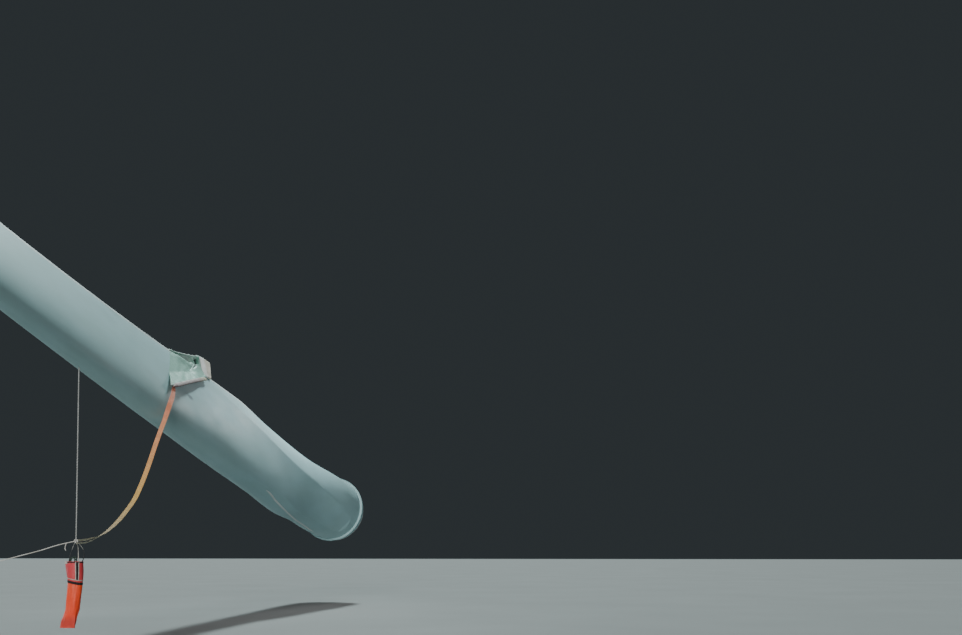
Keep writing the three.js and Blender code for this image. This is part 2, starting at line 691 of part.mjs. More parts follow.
const strapWhole = strapSolid();
const corner = new THREE.Box3().setFromBufferAttribute(upright(cover).attributes.position).max;
const blockSize = 4 * STRAP_WIDTH;
const startBlock = new THREE.BoxGeometry(blockSize, blockSize, blockSize);
startBlock.translate(corner.x + CUT_GAP - blockSize / 2, strapPoints[0].y, strapPoints[0].z);
const coverStations = SHELL_STATIONS.filter((x) => Math.abs(x - COVER_TO) <= SKIN_REACH);
const strapOutside = cut(cut(strapWhole, startBlock), upright(skinSolid(coverStations, CUT_GAP)));
addMesh(part, 'sling_strap', cut(strapOutside, knotSeat), MATERIALS.webbing);

const TAG_ROUTE = [[16900, 460, -1264], [16900, 112, -1362], [16900, -241, -1447], [16900, -594, -1532],
  [16900, -900, -1606]];
const tagPoints = [KNOT, ...vectors(TAG_ROUTE)];
const tag = cordSolid(tagPoints, roundSection(TAG_RADIUS), 24);
addMesh(part, 'tag_line', cut(tag, knotSeat), MATERIALS.rope);
const loop = new THREE.TorusGeometry(LOOP_RADIUS, TAG_RADIUS, 8, 24);
const [beforeEnd, tagEnd] = tagPoints.slice(-2);
const tagAim = tagEnd.clone().sub(beforeEnd).setLength(LOOP_RADIUS + TAG_RADIUS + CUT_GAP);
const loopMesh = addMesh(part, 'tag_end_loop', loop, MATERIALS.rope);
loopMesh.position.copy(tagEnd).add(tagAim);
loopMesh.rotation.y = Math.PI / 2;

// Rope bag: a limp sleeve, oval at its mouth and flat at its bottom, that sways to one side and
// back. Each row gives the height, how far its middle lies beside the knot, its half width across
// Y and its half depth along X.
const BAG_ROWS = [
  { at: -2583, lean: 17, half: 132, depth: 55 },
  { at: -2491, lean: 25, half: 132, depth: 62 },
  { at: -2382, lean: 45, half: 115, depth: 76 },
  { at: -2272, lean: 67, half: 115, depth: 86 },
  { at: -2147, lean: 69, half: 116, depth: 95 },
  { at: -1990, lean: 72, half: 119, depth: 104 },
  { at: -1870, lean: 64, half: 123, depth: 107 },
  { at: -1674, lean: 33, half: 144, depth: 110 },
  { at: -1546, lean: 12, half: 151, depth: 106 },
];
const BAG_SIDES = 24;
const BAG_TOP = BAG_ROWS[BAG_ROWS.length - 1].at;
// The band's middle height, and how far it drops for each step across the bag.
const BAND_AT = -1870;
const BAND_WIDTH = 60;
const BAND_THICKNESS = 5;
const BAND_TILT = 0.2;

// A ring round the bag at a height, grown outwards, and tilted across Y.
function bagRing(z, grow, tilt = 0) {
  return Array.from({ length: BAG_SIDES }, (_, k) => {
    const angle = (2 * Math.PI * k) / BAG_SIDES;
    const at = z - tilt * law(BAG_ROWS, 'half', z) * Math.cos(angle);
    const y = KNOT.y + law(BAG_ROWS, 'lean', at) + (law(BAG_ROWS, 'half', at) + grow) * Math.cos(angle);
    return new THREE.Vector3(KNOT.x + (law(BAG_ROWS, 'depth', at) + grow) * Math.sin(angle), y, at);
  });
}

const bag = capped(BAG_ROWS.map((row) => bagRing(row.at, 0)));
addMesh(part, 'rope_bag', bag, MATERIALS.bag);
const bandRings = [-1, 0, 1].map((k) => {
  return bagRing(BAND_AT + (k * BAND_WIDTH) / 2, CUT_GAP + BAND_THICKNESS, BAND_TILT);
});
const bandSeat = capped(BAG_ROWS.map((row) => bagRing(row.at, CUT_GAP)));
addMesh(part, 'bag_band', cut(capped(bandRings), bandSeat), MATERIALS.bag_band);

// Three flat lines carry the bag: places beside the knot, and heights from it down into the mouth.
const BAG_LINES = {
  bag_handle_left: [[-12, -1222], [-35, -1280], [-68, -1400], [-92, -1575]],
  bag_handle_middle: [[14, -1230], [44, -1300], [66, -1420], [84, -1575]],
  bag_handle_right: [[30, -1225], [84, -1275], [152, -1360], [172, -1455], [140, -1575]],
};
const LINE_WIDTH = 25;
const LINE_THICKNESS = 6;

for (const [name, route] of Object.entries(BAG_LINES)) {
  const points = vectors(route.map(([y, z]) => [KNOT.x, KNOT.y + y, z]));
  const line = cordSolid(points, flatSection(LINE_WIDTH, LINE_THICKNESS), 2 * points.length);
  const bagSeat = bag.clone().translate(0, 0, CUT_GAP);
  addMesh(part, name, cut(cut(line, bagSeat), knotSeat), MATERIALS.bag_band);
}

export default part;
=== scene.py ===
"""A wind turbine blade as it hangs level, with a padded cover on its edge and rigging below it.

Metres, +Z up. The origin is the centre of the root face, +X runs level below the span, and the
blade's pressure side faces +Y. The floor lies 2.95 m below the root.
"""
import math

import bmesh
import bpy
import numpy as np
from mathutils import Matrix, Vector


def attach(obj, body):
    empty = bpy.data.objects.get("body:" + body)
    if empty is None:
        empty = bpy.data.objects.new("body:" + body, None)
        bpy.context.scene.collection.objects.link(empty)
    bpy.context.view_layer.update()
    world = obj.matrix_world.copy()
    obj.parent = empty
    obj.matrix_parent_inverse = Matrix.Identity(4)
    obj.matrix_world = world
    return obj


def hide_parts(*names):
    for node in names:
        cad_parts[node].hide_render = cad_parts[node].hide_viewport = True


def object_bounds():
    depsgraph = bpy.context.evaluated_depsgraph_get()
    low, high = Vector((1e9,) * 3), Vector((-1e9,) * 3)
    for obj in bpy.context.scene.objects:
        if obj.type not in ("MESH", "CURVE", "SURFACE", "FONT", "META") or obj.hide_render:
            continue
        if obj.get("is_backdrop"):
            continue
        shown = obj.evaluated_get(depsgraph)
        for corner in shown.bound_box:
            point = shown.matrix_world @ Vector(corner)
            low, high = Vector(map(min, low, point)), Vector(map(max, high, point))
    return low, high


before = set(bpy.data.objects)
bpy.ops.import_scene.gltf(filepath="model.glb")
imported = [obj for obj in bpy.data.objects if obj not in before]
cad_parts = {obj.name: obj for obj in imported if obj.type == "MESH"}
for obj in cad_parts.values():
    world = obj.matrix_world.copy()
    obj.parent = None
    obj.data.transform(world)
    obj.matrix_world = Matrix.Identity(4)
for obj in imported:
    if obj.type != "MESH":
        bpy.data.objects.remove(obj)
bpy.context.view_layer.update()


# Camera
# It stands near the tip on the pressure side and looks back along the blade to the root. It is
# tipped up by 14.5 degrees and level across.
CAMERA_AT = (31.305, 9.625, -1.386)
CAMERA_AIM = (-0.9582, -0.1374, 0.2511)
LENS_MM, SENSOR_MM = 33.83, 36
CAMERA_REACH = 600


def linked(name, data):
    """A new object in the scene."""
    thing = bpy.data.objects.new(name, data)
    bpy.context.scene.collection.objects.link(thing)
    return thing


def aim(thing, direction, axis):
    """Turns an object so that one of its axes points in a direction."""
    thing.rotation_mode = "QUATERNION"
    thing.rotation_quaternion = Vector(direction).to_track_quat(axis, "Y")


camera = linked("camera", bpy.data.cameras.new("camera"))
camera.data.lens = LENS_MM
camera.data.sensor_width = SENSOR_MM
camera.data.clip_end = CAMERA_REACH
camera.location = CAMERA_AT
aim(camera, CAMERA_AIM, "-Z")
bpy.context.scene.camera = camera


# Drop rope
# A laid rope of three grey strands, 20 mm thick. It hangs taut from the blade's leading edge to
# the rigging knot, and its strands turn once in seven diameters.
KNOT_AT = np.array([16.9, 0.741, -1.209])
ROPE_RADIUS = 0.010
ROPE_TOP = np.array([17.3803, 0.7440, 1.6440])
ROPE_INTO_SKIN, ROPE_ABOVE_KNOT = 0.004, 0.02
STRAND_SHARE, VALLEY_SHARE = 0.464, 0.74
TURN_IN_DIAMETERS = 7
SHARP_FROM = math.radians(38)


def unit(vectors):
    """Vectors at length one."""
    return vectors / np.linalg.norm(vectors, axis=-1, keepdims=True)


def evenly(count):
    """Angles spread evenly round a circle."""
    return np.linspace(0, 2 * np.pi, count, endpoint=False)


def oval(angle, wide, tall):
    """Pairs of offsets on an oval, from its half width and half height."""
    return np.stack([wide * np.cos(angle), tall * np.sin(angle)], -1)


def surface(name, grid, closed=True, ends="flat"):
    """A mesh through a grid of points, row after row. closed joins the last column to the first.
    ends: flat closes the first and last row by one face each, paired joins their point k to the
    point k from the other end, joined leads the last row back to the first, open does neither.
    The UV map holds metres along and round, and faces are turned out where volume is negative."""
    rows, columns = grid.shape[:2]
    across = columns if closed else columns - 1
    down = rows if ends == "joined" else rows - 1
    i, j = np.meshgrid(np.arange(down), np.arange(across), indexing="ij")
    below, after = (i + 1) % rows, (j + 1) % columns
    corners = [i * columns + j, i * columns + after, below * columns + after, below * columns + j]
    faces = np.stack(corners, -1).reshape(-1, 4)
    tall, wide = np.diff(grid, axis=0, append=grid[:1]), np.diff(grid, axis=1, append=grid[:, :1])
    along = np.append(0, np.linalg.norm(tall, axis=2).mean(1).cumsum())
    around = np.append(0, np.linalg.norm(wide, axis=2).mean(0).cumsum())
    places = np.stack([along[i], around[j], along[i], around[j + 1], along[i + 1], around[j + 1],
                       along[i + 1], around[j]], -1).reshape(-1, 4, 2)
    last = (rows - 1) * columns
    if ends == "paired":
        k = np.arange(columns // 2 - 1)
        first_end = np.stack([k + 1, k, columns - 1 - k, columns - 2 - k], 1)
        faces = np.concatenate([faces, first_end, first_end[:, ::-1] + last])
        places = np.concatenate([places, np.zeros((2 * len(k), 4, 2))])
    points = grid.reshape(-1, 3)
    loose = [np.arange(columns)[::-1], np.arange(columns) + last] if ends == "flat" else []
    middle = points.mean(0)
    a, b, c, d = (points[faces[:, k]] - middle for k in range(4))
    volume = (a * (np.cross(b, c) + np.cross(c, d))).sum()
    for ring in loose:
        fan = points[ring] - middle
        volume += (fan[0] * np.cross(fan[1:-1], fan[2:])).sum()
    if volume < 0:
        faces, places = faces[:, ::-1], places[:, ::-1]
        loose = [ring[::-1] for ring in loose]
    mesh = bpy.data.meshes.new(name)
    mesh.from_pydata(points.tolist(), [], faces.tolist() + [ring.tolist() for ring in loose])
    flat = np.zeros((len(mesh.loops), 2))
    flat[:places.size // 2] = places.reshape(-1, 2)
    mesh.uv_layers.new(name="UVMap").data.foreach_set("uv", flat.ravel())
    mesh.shade_smooth()
    mesh.set_sharp_from_angle(angle=SHARP_FROM)
    return linked(name, mesh)


def carried(path, reference, section, joined=False):
    """A section carried along a path. Its first offset goes towards reference, as far as that is
    square to the path, and its second is square to both."""
    tangent = unit(np.roll(path, -1, 0) - np.roll(path, 1, 0) if joined else np.gradient(path, axis=0))
    reference = np.asarray(reference, float)
    side = unit(reference - (reference * tangent).sum(-1, keepdims=True) * tangent)
    up = np.cross(tangent, side)
    return path[:, None] + section[..., :1] * side[:, None] + section[..., 1:] * up[:, None]


looks = {}


def dress(piece, look, slot, *replaced):
    """Gives a piece its material, hides the nodes that it stands for, and fixes it to the part's one body.
    slot is not used."""
    piece.data.materials.append(looks[look])
    if replaced:
        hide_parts(*replaced)
    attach(piece, "root")
    return piece


def laid_rope(name, path, reference, radius, look, *replaced, joined=False):
    """A rope along a path, closed at its ends or joined to itself. Its section is three touching
    circles inside the rope's own, with filled valleys, turned in step with the path's length."""
    length = np.append(0, np.linalg.norm(np.diff(path, axis=0), axis=1).cumsum())
    turns = length / (TURN_IN_DIAMETERS * 2 * radius)
    if joined:
        turns = np.arange(len(path)) / len(path) * max(1, round(turns[-1]))
    angle = evenly(18)
    nearest = (angle + np.pi / 3) % (2 * np.pi / 3) - np.pi / 3
    out = 1 - STRAND_SHARE
    reach = out * np.cos(nearest) + np.sqrt(np.clip(STRAND_SHARE**2 - (out * np.sin(nearest)) ** 2, 0, 1))
    reach = np.maximum(reach, VALLEY_SHARE) * radius
    section = oval(angle + 2 * np.pi * turns[:, None], reach, reach)
    grid = carried(path, reference, section, joined)
    return dress(surface(name, grid, ends="joined" if joined else "flat"), look, "rope", *replaced)


def feed(tree, node, **inputs):
    """Gives a node's inputs plain values or other nodes' outputs. An underscore is a space."""
    for name, value in inputs.items():
        socket = node.inputs[name.replace("_", " ")]
        if isinstance(value, bpy.types.NodeSocket):
            tree.links.new(value, socket)
        else:
            socket.default_value = value


def paint(tree, **inputs):
    """Feeds the inputs of a material's shader."""
    feed(tree, tree.nodes["Principled BSDF"], **inputs)


def new_look(name, roughness, metallic=0.0):
    """The node tree of a new material."""
    looks[name] = bpy.data.materials.new(name)
    looks[name].use_nodes = True
    paint(looks[name].node_tree, Roughness=roughness, Metallic=metallic)
    return looks[name].node_tree


def added(tree, kind, out, settings=(), **inputs):
    """The output out of a new node, with its settings and inputs."""
    node = tree.nodes.new("ShaderNode" + kind)
    for name, value in settings:
        setattr(node, name, value)
    feed(tree, node, **inputs)
    return node.outputs[out]


def cloud(tree, scale, detail, stretch=(1, 1, 1), place="Object"):
    """Soft random patches from 0 to 1, scale of them to a metre, drawn out by stretch."""
    at = added(tree, "Mapping", "Vector", Vector=added(tree, "TexCoord", place),
               Scale=[scale / s for s in stretch])
    return added(tree, "TexNoise", "Fac", Vector=at, Scale=1.0, Detail=detail)


def shades(tree, factor, *stops):
    """Colours along a factor, from places from 0 to 1, each with its colour or its grey."""
    node = tree.nodes.new("ShaderNodeValToRGB")
    for k, (at, colour) in enumerate(stops):
        stop = node.color_ramp.elements[k] if k < 2 else node.color_ramp.elements.new(at)
        stop.position = at
        stop.color = (*np.broadcast_to(colour, 3), 1)
    feed(tree, node, Fac=factor)
    return node.outputs["Color"]


def patchy(tree, scale, detail, *stops, stretch=(1, 1, 1)):
    """Colours in soft random patches."""
    return shades(tree, cloud(tree, scale, detail, stretch), *stops)


def mixed(tree, factor, first, second, way="MIX"):
    """Two colours mixed by a factor. Each is a plain value or another node's output."""
    mix = tree.nodes.new("ShaderNodeMix")
    mix.data_type = "RGBA"
    mix.blend_type = way
    for socket, value in zip([mix.inputs[0], mix.inputs[6], mix.inputs[7]], [factor, first, second]):
        if isinstance(value, bpy.types.NodeSocket):
            tree.links.new(value, socket)
        else:
            socket.default_value = value if isinstance(value, float) else (*value, 1)
    return mix.outputs[2]


def relief(tree, *layers):
    """Bump on the shader, from layers with a height of 0 to 1 and its depth in metres."""
    below = {}
    for height, depth in layers:
        below = {"Normal": added(tree, "Bump", "Normal", Height=height, Distance=depth, **below)}
    paint(tree, **below)


def rope_look(name, dark, light, stain):
    """Fine fibres drawn out along the rope between a dark and a light colour, stained in patches."""
    tree = new_look(name, 0.85)
    fibre = cloud(tree, 900, 3, (8, 1, 1), "UV")
    fibres = shades(tree, fibre, (0.3, dark), (0.7, light))
    paint(tree, Base_Color=mixed(tree, patchy(tree, 5, 3, (0.42, 0), (0.7, 0.7)), fibres, stain))
    relief(tree, (fibre, 0.0008))


rope_look("rope_grey", (0.24, 0.25, 0.25), (0.62, 0.63, 0.62), (0.3, 0.3, 0.28))
rope_aim = unit(KNOT_AT - ROPE_TOP)
drop_path = np.linspace(ROPE_TOP - ROPE_INTO_SKIN * rope_aim, KNOT_AT - ROPE_ABOVE_KNOT * rope_aim, 420)
drop_rope = laid_rope("drop_rope_laid", drop_path, (0, 1, 0), ROPE_RADIUS, "rope_grey", "drop_rope")


# Rigging knot
# The drop rope's end, tied round the strap and the tag line: one strand of rope that passes
# twice round and three times through itself.
KNOT_RING = 0.019
KNOT_THROUGH, KNOT_DEPTH = 0.01, 0.018
KNOT_ROPE = 0.008


def upright(angle):
    """Unit vectors in the upright plane across the blade."""
    return np.stack([0 * angle, np.cos(angle), np.sin(angle)], -1)


turn = evenly(420)
knot_reach = KNOT_THROUGH * np.cos(3 * turn)[:, None] * upright(2 * turn)
knot_reach[:, 0] = KNOT_DEPTH * np.sin(3 * turn)
rope_look("rope_pale", (0.42, 0.42, 0.4), (0.82, 0.81, 0.77), (0.4, 0.37, 0.32))
laid_rope("rigging_knot_tied", KNOT_AT + KNOT_RING * upright(2 * turn) + knot_reach, knot_reach,
          KNOT_ROPE, "rope_pale", "rigging_knot", joined=True)


# Tag line
# A laid rope, 16 mm thick, by which the blade is steered. It runs taut from the knot to an eye
# with a whipping of thin twine, just outside the picture. A short end hangs down beside the knot.
TAG_ROUTE = np.array([[16.9, 0.741, -1.209], [16.9, 0.46, -1.264], [16.9, 0.112, -1.362],
                      [16.9, -0.241, -1.447], [16.9, -0.594, -1.532], [16.9, -0.9, -1.606]])
TAG_FIRST = 4
TAG_RADIUS = 0.008
TAG_END = [[16.9, 0.571, -1.238], [16.906, 0.565, -1.28], [16.908, 0.562, -1.325], [16.9, 0.574, -1.36]]
EYE_RADIUS = 0.055
WHIPPING_LENGTH, TWINE_RADIUS = 0.05, 0.0016


def cubic(t, first, last, leaving, arriving):
    """A cubic from first to last over t from 0 to 1, with its slopes there."""
    return (first * (1 + 2 * t) * (1 - t) ** 2 + last * t * t * (3 - 2 * t)
            + leaving * t * (1 - t) ** 2 + arriving * t * t * (t - 1))


def through(points, steps):
    """A smooth line through points, with steps places from each to the next. Its slope at a point
    is that of the line between its neighbours, over the distance between them."""
    points = np.asarray(points, float)
    gaps = np.linalg.norm(np.diff(points, axis=0), axis=1)
    slope = np.gradient(points, np.append(0, gaps.cumsum()), axis=0)
    t = np.linspace(0, 1, steps, endpoint=False)[None, :, None]
    run = gaps[:, None, None]
    line = cubic(t, points[:-1, None], points[1:, None], slope[:-1, None] * run, slope[1:, None] * run)
    return np.concatenate([line.reshape(-1, 3), points[-1:]])


tag_path = through(TAG_ROUTE, 50)[TAG_FIRST:]
tag_line = laid_rope("tag_line_laid", tag_path, (1, 0, 0), TAG_RADIUS, "rope_pale", "tag_line")
tag_aim = unit(TAG_ROUTE[-1] - TAG_ROUTE[-2])
eye_at = TAG_ROUTE[-1] + tag_aim * (EYE_RADIUS + TAG_RADIUS)
eye = laid_rope("tag_end_eye", eye_at + EYE_RADIUS * upright(turn), upright(turn), TAG_RADIUS,
                "rope_pale", "tag_end_loop", joined=True)
coil = np.linspace(0, 2 * np.pi * WHIPPING_LENGTH / (2 * TWINE_RADIUS), 720)[:, None]
spoke = np.cos(coil) * [1, 0, 0] + np.sin(coil) * np.cross(tag_aim, [1, 0, 0])
back_from_eye = np.linspace(WHIPPING_LENGTH, 0, 720)[:, None]
whip_path = TAG_ROUTE[-1] - tag_aim * back_from_eye + spoke * (TAG_RADIUS + TWINE_RADIUS)
whip_grid = carried(whip_path, spoke, oval(evenly(6), TWINE_RADIUS, TWINE_RADIUS))
whipping = dress(surface("tag_whipping", whip_grid), "rope_grey", "rope")
tag_end = laid_rope("tag_short_end", through(TAG_END, 40), (1, 0, 0), TAG_RADIUS, "rope_pale")


# Sling strap
# Woven webbing, 100 mm wide, sewn to the lower corner of the cover's front flap. It lies over the skin,
# turns on its way down and hangs in a curve to the knot, faded low down and orange at the top, where the
# colour is brightened as painted light against the flap's shadow.
# A narrow strand runs below its last 0.7 m.
STRAP_ROUTE = [
    [13.56, 0.525, 2.01], [13.795, 0.65, 1.913], [14.097, 0.79, 1.702], [14.4, 0.88, 1.4],
    [14.52, 0.88, 1.145], [14.578, 0.832, 0.883], [14.625, 0.79, 0.643], [14.696, 0.77, 0.412],
    [14.808, 0.765, 0.162], [14.986, 0.765, -0.154], [15.192, 0.765, -0.445], [15.409, 0.765, -0.637],
    [15.653, 0.764, -0.825], [15.925, 0.762, -0.99], [16.226, 0.757, -1.116], [16.528, 0.75, -1.171],
    [16.876, 0.741, -1.203],
]
STRAP_WIDTH, STRAP_THICKNESS = 0.1, 0.007
STRAP_TOP_ACROSS, STRAP_LOW_ACROSS = np.array([-0.69, 0.3, -0.66]), np.array([0, 1, 0])
STRAP_TURN = 0.3
STRAP_ROLL = np.array([0, 0, 0.55])
ROLL_FROM, ROLL_OVER = 0.75, 0.2
STRAP_GATHER = 0.45
GATHER_FROM, GATHER_OVER = 0.93, 0.07
STRAND_ROUTE = [[16.2, 0.757, -1.112], [16.45, 0.757, -1.193], [16.7, 0.757, -1.238], [16.885, 0.75, -1.245]]
STRAND_WIDTH = 0.034
STRAND_ACROSS = (0, 0.7, 0.7)
RIB_PITCH, YARN_PITCH = 0.004, 0.0022


def flat_section(width, thickness, count=14):
    """A flat strap's section: thickness falls off to each selvedge as the root of one minus the
    fourth power of the place across."""
    across = np.cos(np.linspace(0, np.pi, count))
    tall = np.sqrt(1 - across**4) * 0.92 + 0.08
    over = np.stack([across * width / 2, tall * thickness / 2], -1)
    return np.concatenate([over, -over])


def smooth(a, low, high):
    """0 below low and 1 above high, with a smooth rise between: 3 t squared less 2 t cubed."""
    t = np.clip((a - low) / (high - low), 0, 1)
    return t * t * (3 - 2 * t)


def product(tree, colour, *others):
    """Colours multiplied by each other."""
    for other in others:
        colour = mixed(tree, 1.0, colour, other, "MULTIPLY")
    return colour


def woven(tree, along_pitch, across_pitch):
    """Height of a plain weave on the UV map: waves along it times waves across it."""
    place = added(tree, "TexCoord", "UV")
    waves = [added(tree, "TexWave", "Fac", [("bands_direction", axis)], Vector=place, Scale=0.314 / pitch,
                   Distortion=0.6) for axis, pitch in (("X", along_pitch), ("Y", across_pitch))]
    return product(tree, *waves)


def share_along(tree, axis, low, high):
    """The share of the way from low to high along an axis of the Object coordinates."""
    place = added(tree, "SeparateXYZ", axis, Vector=added(tree, "TexCoord", "Object"))
    return added(tree, "MapRange", "Result", Value=place, From_Min=low, From_Max=high)


tree = new_look("strap_webbing", 0.82)
# Painted light: the upper stops are a brighter, fuller orange than the webbing's own, to make up for the
# flap's shadow on the strap's top.
faded_and_painted_bright = shades(tree, share_along(tree, "Z", -1.2, 2.0), (0.0, (0.8, 0.74, 0.56)), (1.0, (1.0, 0.32, 0.2)),
              (0.1, (0.9, 0.72, 0.4)), (0.26, (1.0, 0.64, 0.2)), (0.55, (1.0, 0.46, 0.2)),
              (0.78, (1.0, 0.38, 0.22)))
weave = woven(tree, RIB_PITCH, YARN_PITCH)
paint(tree, Base_Color=product(tree, faded_and_painted_bright, patchy(tree, 9, 5, (0.35, 0.84), (0.75, 1.04)),
                               shades(tree, weave, (0.0, 0.72), (0.6, 1))))
relief(tree, (weave, 0.0009))

strap_path = through(STRAP_ROUTE, 22)
share = np.linspace(0, 1, len(strap_path))[:, None]
turned = smooth(share, 0, STRAP_TURN)
rolled_up = np.clip((share - ROLL_FROM) / ROLL_OVER, 0, 1)
strap_across = STRAP_TOP_ACROSS * (1 - turned) + STRAP_LOW_ACROSS * turned + STRAP_ROLL * rolled_up
gather = 1 - STRAP_GATHER * np.clip((share - GATHER_FROM) / GATHER_OVER, 0, 1) ** 2
strap_section = flat_section(STRAP_WIDTH, STRAP_THICKNESS) * np.stack([gather, 2 - gather], -1)
strap = surface("sling_strap_woven", carried(strap_path, strap_across, strap_section))
dress(strap, "strap_webbing", "strap_webbing", "sling_strap")
strand_section = flat_section(STRAND_WIDTH, STRAP_THICKNESS, 8)
strand = surface("sling_strand", carried(through(STRAND_ROUTE, 24), STRAND_ACROSS, strand_section))
dress(strand, "strap_webbing", "strap_webbing")


# Rope bag
# A limp sleeve of coated cloth, red above its band and brighter orange below, with darker red at the bottom
# as painted shade of its folds there, which sways to one side and back. Its mouth is rolled in, and its
# bottom is sewn flat.
BAG_ROWS = np.array([
    # height, lean beside the knot, half width, half depth
    [-2.583, 0.017, 0.130, 0.030], [-2.491, 0.025, 0.130, 0.046], [-2.382, 0.045, 0.114, 0.066],
    [-2.272, 0.067, 0.114, 0.082], [-2.147, 0.069, 0.115, 0.093], [-1.990, 0.072, 0.118, 0.102],
    [-1.870, 0.064, 0.121, 0.105], [-1.674, 0.033, 0.142, 0.108], [-1.546, 0.012, 0.149, 0.104],
])
BAG_BOTTOM, BAG_TOP = BAG_ROWS[0, 0], BAG_ROWS[-1, 0]
BAG_POCKET = 0.16
BAND_AT, BAND_TILT = -1.870, 0.2
BAG_FOLDS = [
    # depth, waves round, turn towards the bottom, start
    (0.007, 5, 6, 0), (0.004, 9, -4, 1),
]
PLEAT_COUNT, PLEAT_DEPTH = 17, 0.003
BAND_DRAW, BAND_REACH = 0.006, 0.055
RIM_STEPS = ((0.002, 0.004), (-0.001, 0.008), (-0.005, 0.007), (-0.007, 0.003))


def bell(a, middle, width):
    """A bump of height 1 that falls off as the square of the distance in widths."""
    return np.exp(-((a - middle) / width) ** 2)


def law(table, x):
    """Each column of a table between its rows: cubics that never overshoot. The slope at a row is
    the harmonic mean of those beside it where they agree in sign, and else level."""
    at, values = table[:, 0], table[:, 1:]
    run = np.diff(at)
    rise = np.diff(values, axis=0) / run[:, None]
    both = rise[:-1] * rise[1:]
    slope = np.zeros_like(values)
    slope[1:-1] = np.where(both > 0, 2 * both / np.where(both > 0, rise[:-1] + rise[1:], 1), 0)
    x = np.asarray(x, float)
    k = np.clip(np.searchsorted(at, x, side="right") - 1, 0, len(run) - 1)
    step = run[k][..., None]
    t = np.clip((x - at[k])[..., None] / step, 0, 1)
    return np.moveaxis(cubic(t, values[k], values[k + 1], slope[k] * step, slope[k + 1] * step), -1, 0)


def bag_wall(height, angle, grow=0.0):
    """A point of the bag's wall: an oval round its leaning middle line, with long soft folds that
    deepen towards the bottom and short pleats where the band draws it in."""
    lean, half, depth = law(BAG_ROWS, height)
    down = np.clip((BAND_AT - height) / (BAND_AT - BAG_BOTTOM), 0, 1)
    near = bell(height + BAND_TILT * half * np.cos(angle), BAND_AT, BAND_REACH)
    fold = sum(deep * down * np.sin(waves * angle + twist * down + start)
               for deep, waves, twist, start in BAG_FOLDS)
    pleat = near * (PLEAT_DEPTH * np.cos(PLEAT_COUNT * angle) - BAND_DRAW)
    slack = 0.003 * np.sin(3 * angle + 9 * height) * (1 - down)
    out = grow + fold + pleat + slack
    x = KNOT_AT[0] + (depth + out) * np.sin(angle)
    y = KNOT_AT[1] + lean + (half + out) * np.cos(angle)
    return np.stack([x, y, height + 0 * angle], -1)


tree = new_look("bag_cloth", 0.5)
# Painted shade: the lowest tenth is a darker red, for the shade in the folds near the sewn bottom.
reds_with_painted_shade = shades(tree, share_along(tree, "Z", BAG_BOTTOM, BAG_TOP), (0.0, (0.72, 0.06, 0.035)),
              (1.0, (0.66, 0.045, 0.06)), (0.1, (0.66, 0.05, 0.03)), (0.2, (1.0, 0.07, 0.02)),
              (0.66, (1.0, 0.08, 0.015)), (0.7, (0.66, 0.055, 0.06)))
paint(tree, Base_Color=product(tree, reds_with_painted_shade, patchy(tree, 16, 6, (0.45, 0.9), (0.8, (1.0, 1.1, 1.15)))),
      Roughness=patchy(tree, 11, 4, (0.3, 0.45), (0.7, 0.66)))
relief(tree, (cloud(tree, 9, 5, (1, 1, 2.5)), 0.014), (woven(tree, 0.002, 0.002), 0.0004))

angle = evenly(112)[None]
bag_rim = [bag_wall(np.array([[BAG_TOP]]), angle, grow) + [0, 0, up] for grow, up in RIM_STEPS]
bag_outside = bag_wall(np.linspace(BAG_BOTTOM, BAG_TOP, 100)[:, None], angle)
bag_inside = bag_wall(np.linspace(BAG_TOP, BAG_TOP - BAG_POCKET, 12)[:, None], angle, -0.008)
bag = surface("rope_bag_sleeve", np.concatenate([bag_outside, *bag_rim, bag_inside]))
dress(bag, "bag_cloth", "bag_cloth", "rope_bag")


# Bag trims
# The black band that draws the bag in, a pale cord above it, the dark binding of the mouth with
# a pale patch at one side, and a black strip down the front between two pale bindings.
BAND_WIDTH = 0.042
STRIP_ANGLE, STRIP_HALF = math.radians(48), 0.021
STRIP_ENDS = (BAG_TOP - 0.002, BAND_AT + 0.04)
BINDING_BESIDE = (STRIP_HALF + 0.006) / 0.14
PATCH_ANGLE, PATCH_HALF = math.radians(140), 0.055
AROUND_BAG = [
    # name, height, tilt, width, thickness, material, node that it stands for
    ("bag_band_drawn", BAND_AT, BAND_TILT, BAND_WIDTH, 0.005, "tape_black", "bag_band"),
    ("bag_cord", BAND_AT + 0.052, BAND_TILT, 0.014, 0.006, "tape_pale"),
    ("bag_mouth_binding", BAG_TOP - 0.006, 0, 0.018, 0.003, "tape_black"),
]
DOWN_BAG = [
    # name, angle, half width, top, bottom, thickness, material
    ("bag_mouth_patch", PATCH_ANGLE, PATCH_HALF, BAG_TOP + 0.004, BAG_TOP - 0.028, 0.009, "tape_pale"),
    ("bag_strip", STRIP_ANGLE, STRIP_HALF, *STRIP_ENDS, 0.004, "tape_black"),
    ("bag_binding_inner", STRIP_ANGLE - BINDING_BESIDE, 0.008, *STRIP_ENDS, 0.005, "tape_pale"),
    ("bag_binding_outer", STRIP_ANGLE + BINDING_BESIDE, 0.008, *STRIP_ENDS, 0.005, "tape_pale"),
]


def bag_trim(name, heights, angles, thickness, ends, look, *replaced):
    """A strip that follows the bag's wall over a grid of heights and angles, with a rounded top
    and an underside inside the wall."""
    up = np.linspace(0, 1, heights.shape[1])[None, :, None]
    proud = thickness * np.clip(np.sin(np.pi * up), 0, 1) ** 0.35
    over = bag_wall(heights, angles)
    out = unit(over - bag_wall(heights, angles, -1e-3))
    ring = np.concatenate([over + out * proud, (over - out * 0.002)[:, ::-1]], 1)
    dress(surface(name, ring, ends=ends), look, "band_cloth", *replaced)


def tape_look(name, dark, light):
    """Narrow woven tape: ribs across it between a dark and a light colour, with faint wear."""
    tree = new_look(name, 0.8)
    ribs = woven(tree, 0.003, 0.002)
    paint(tree, Base_Color=product(tree, shades(tree, ribs, (0.0, dark), (0.7, light)),
                                   patchy(tree, 20, 5, (0.4, 0.85), (0.7, 1.15))))
    relief(tree, (ribs, 0.0007))


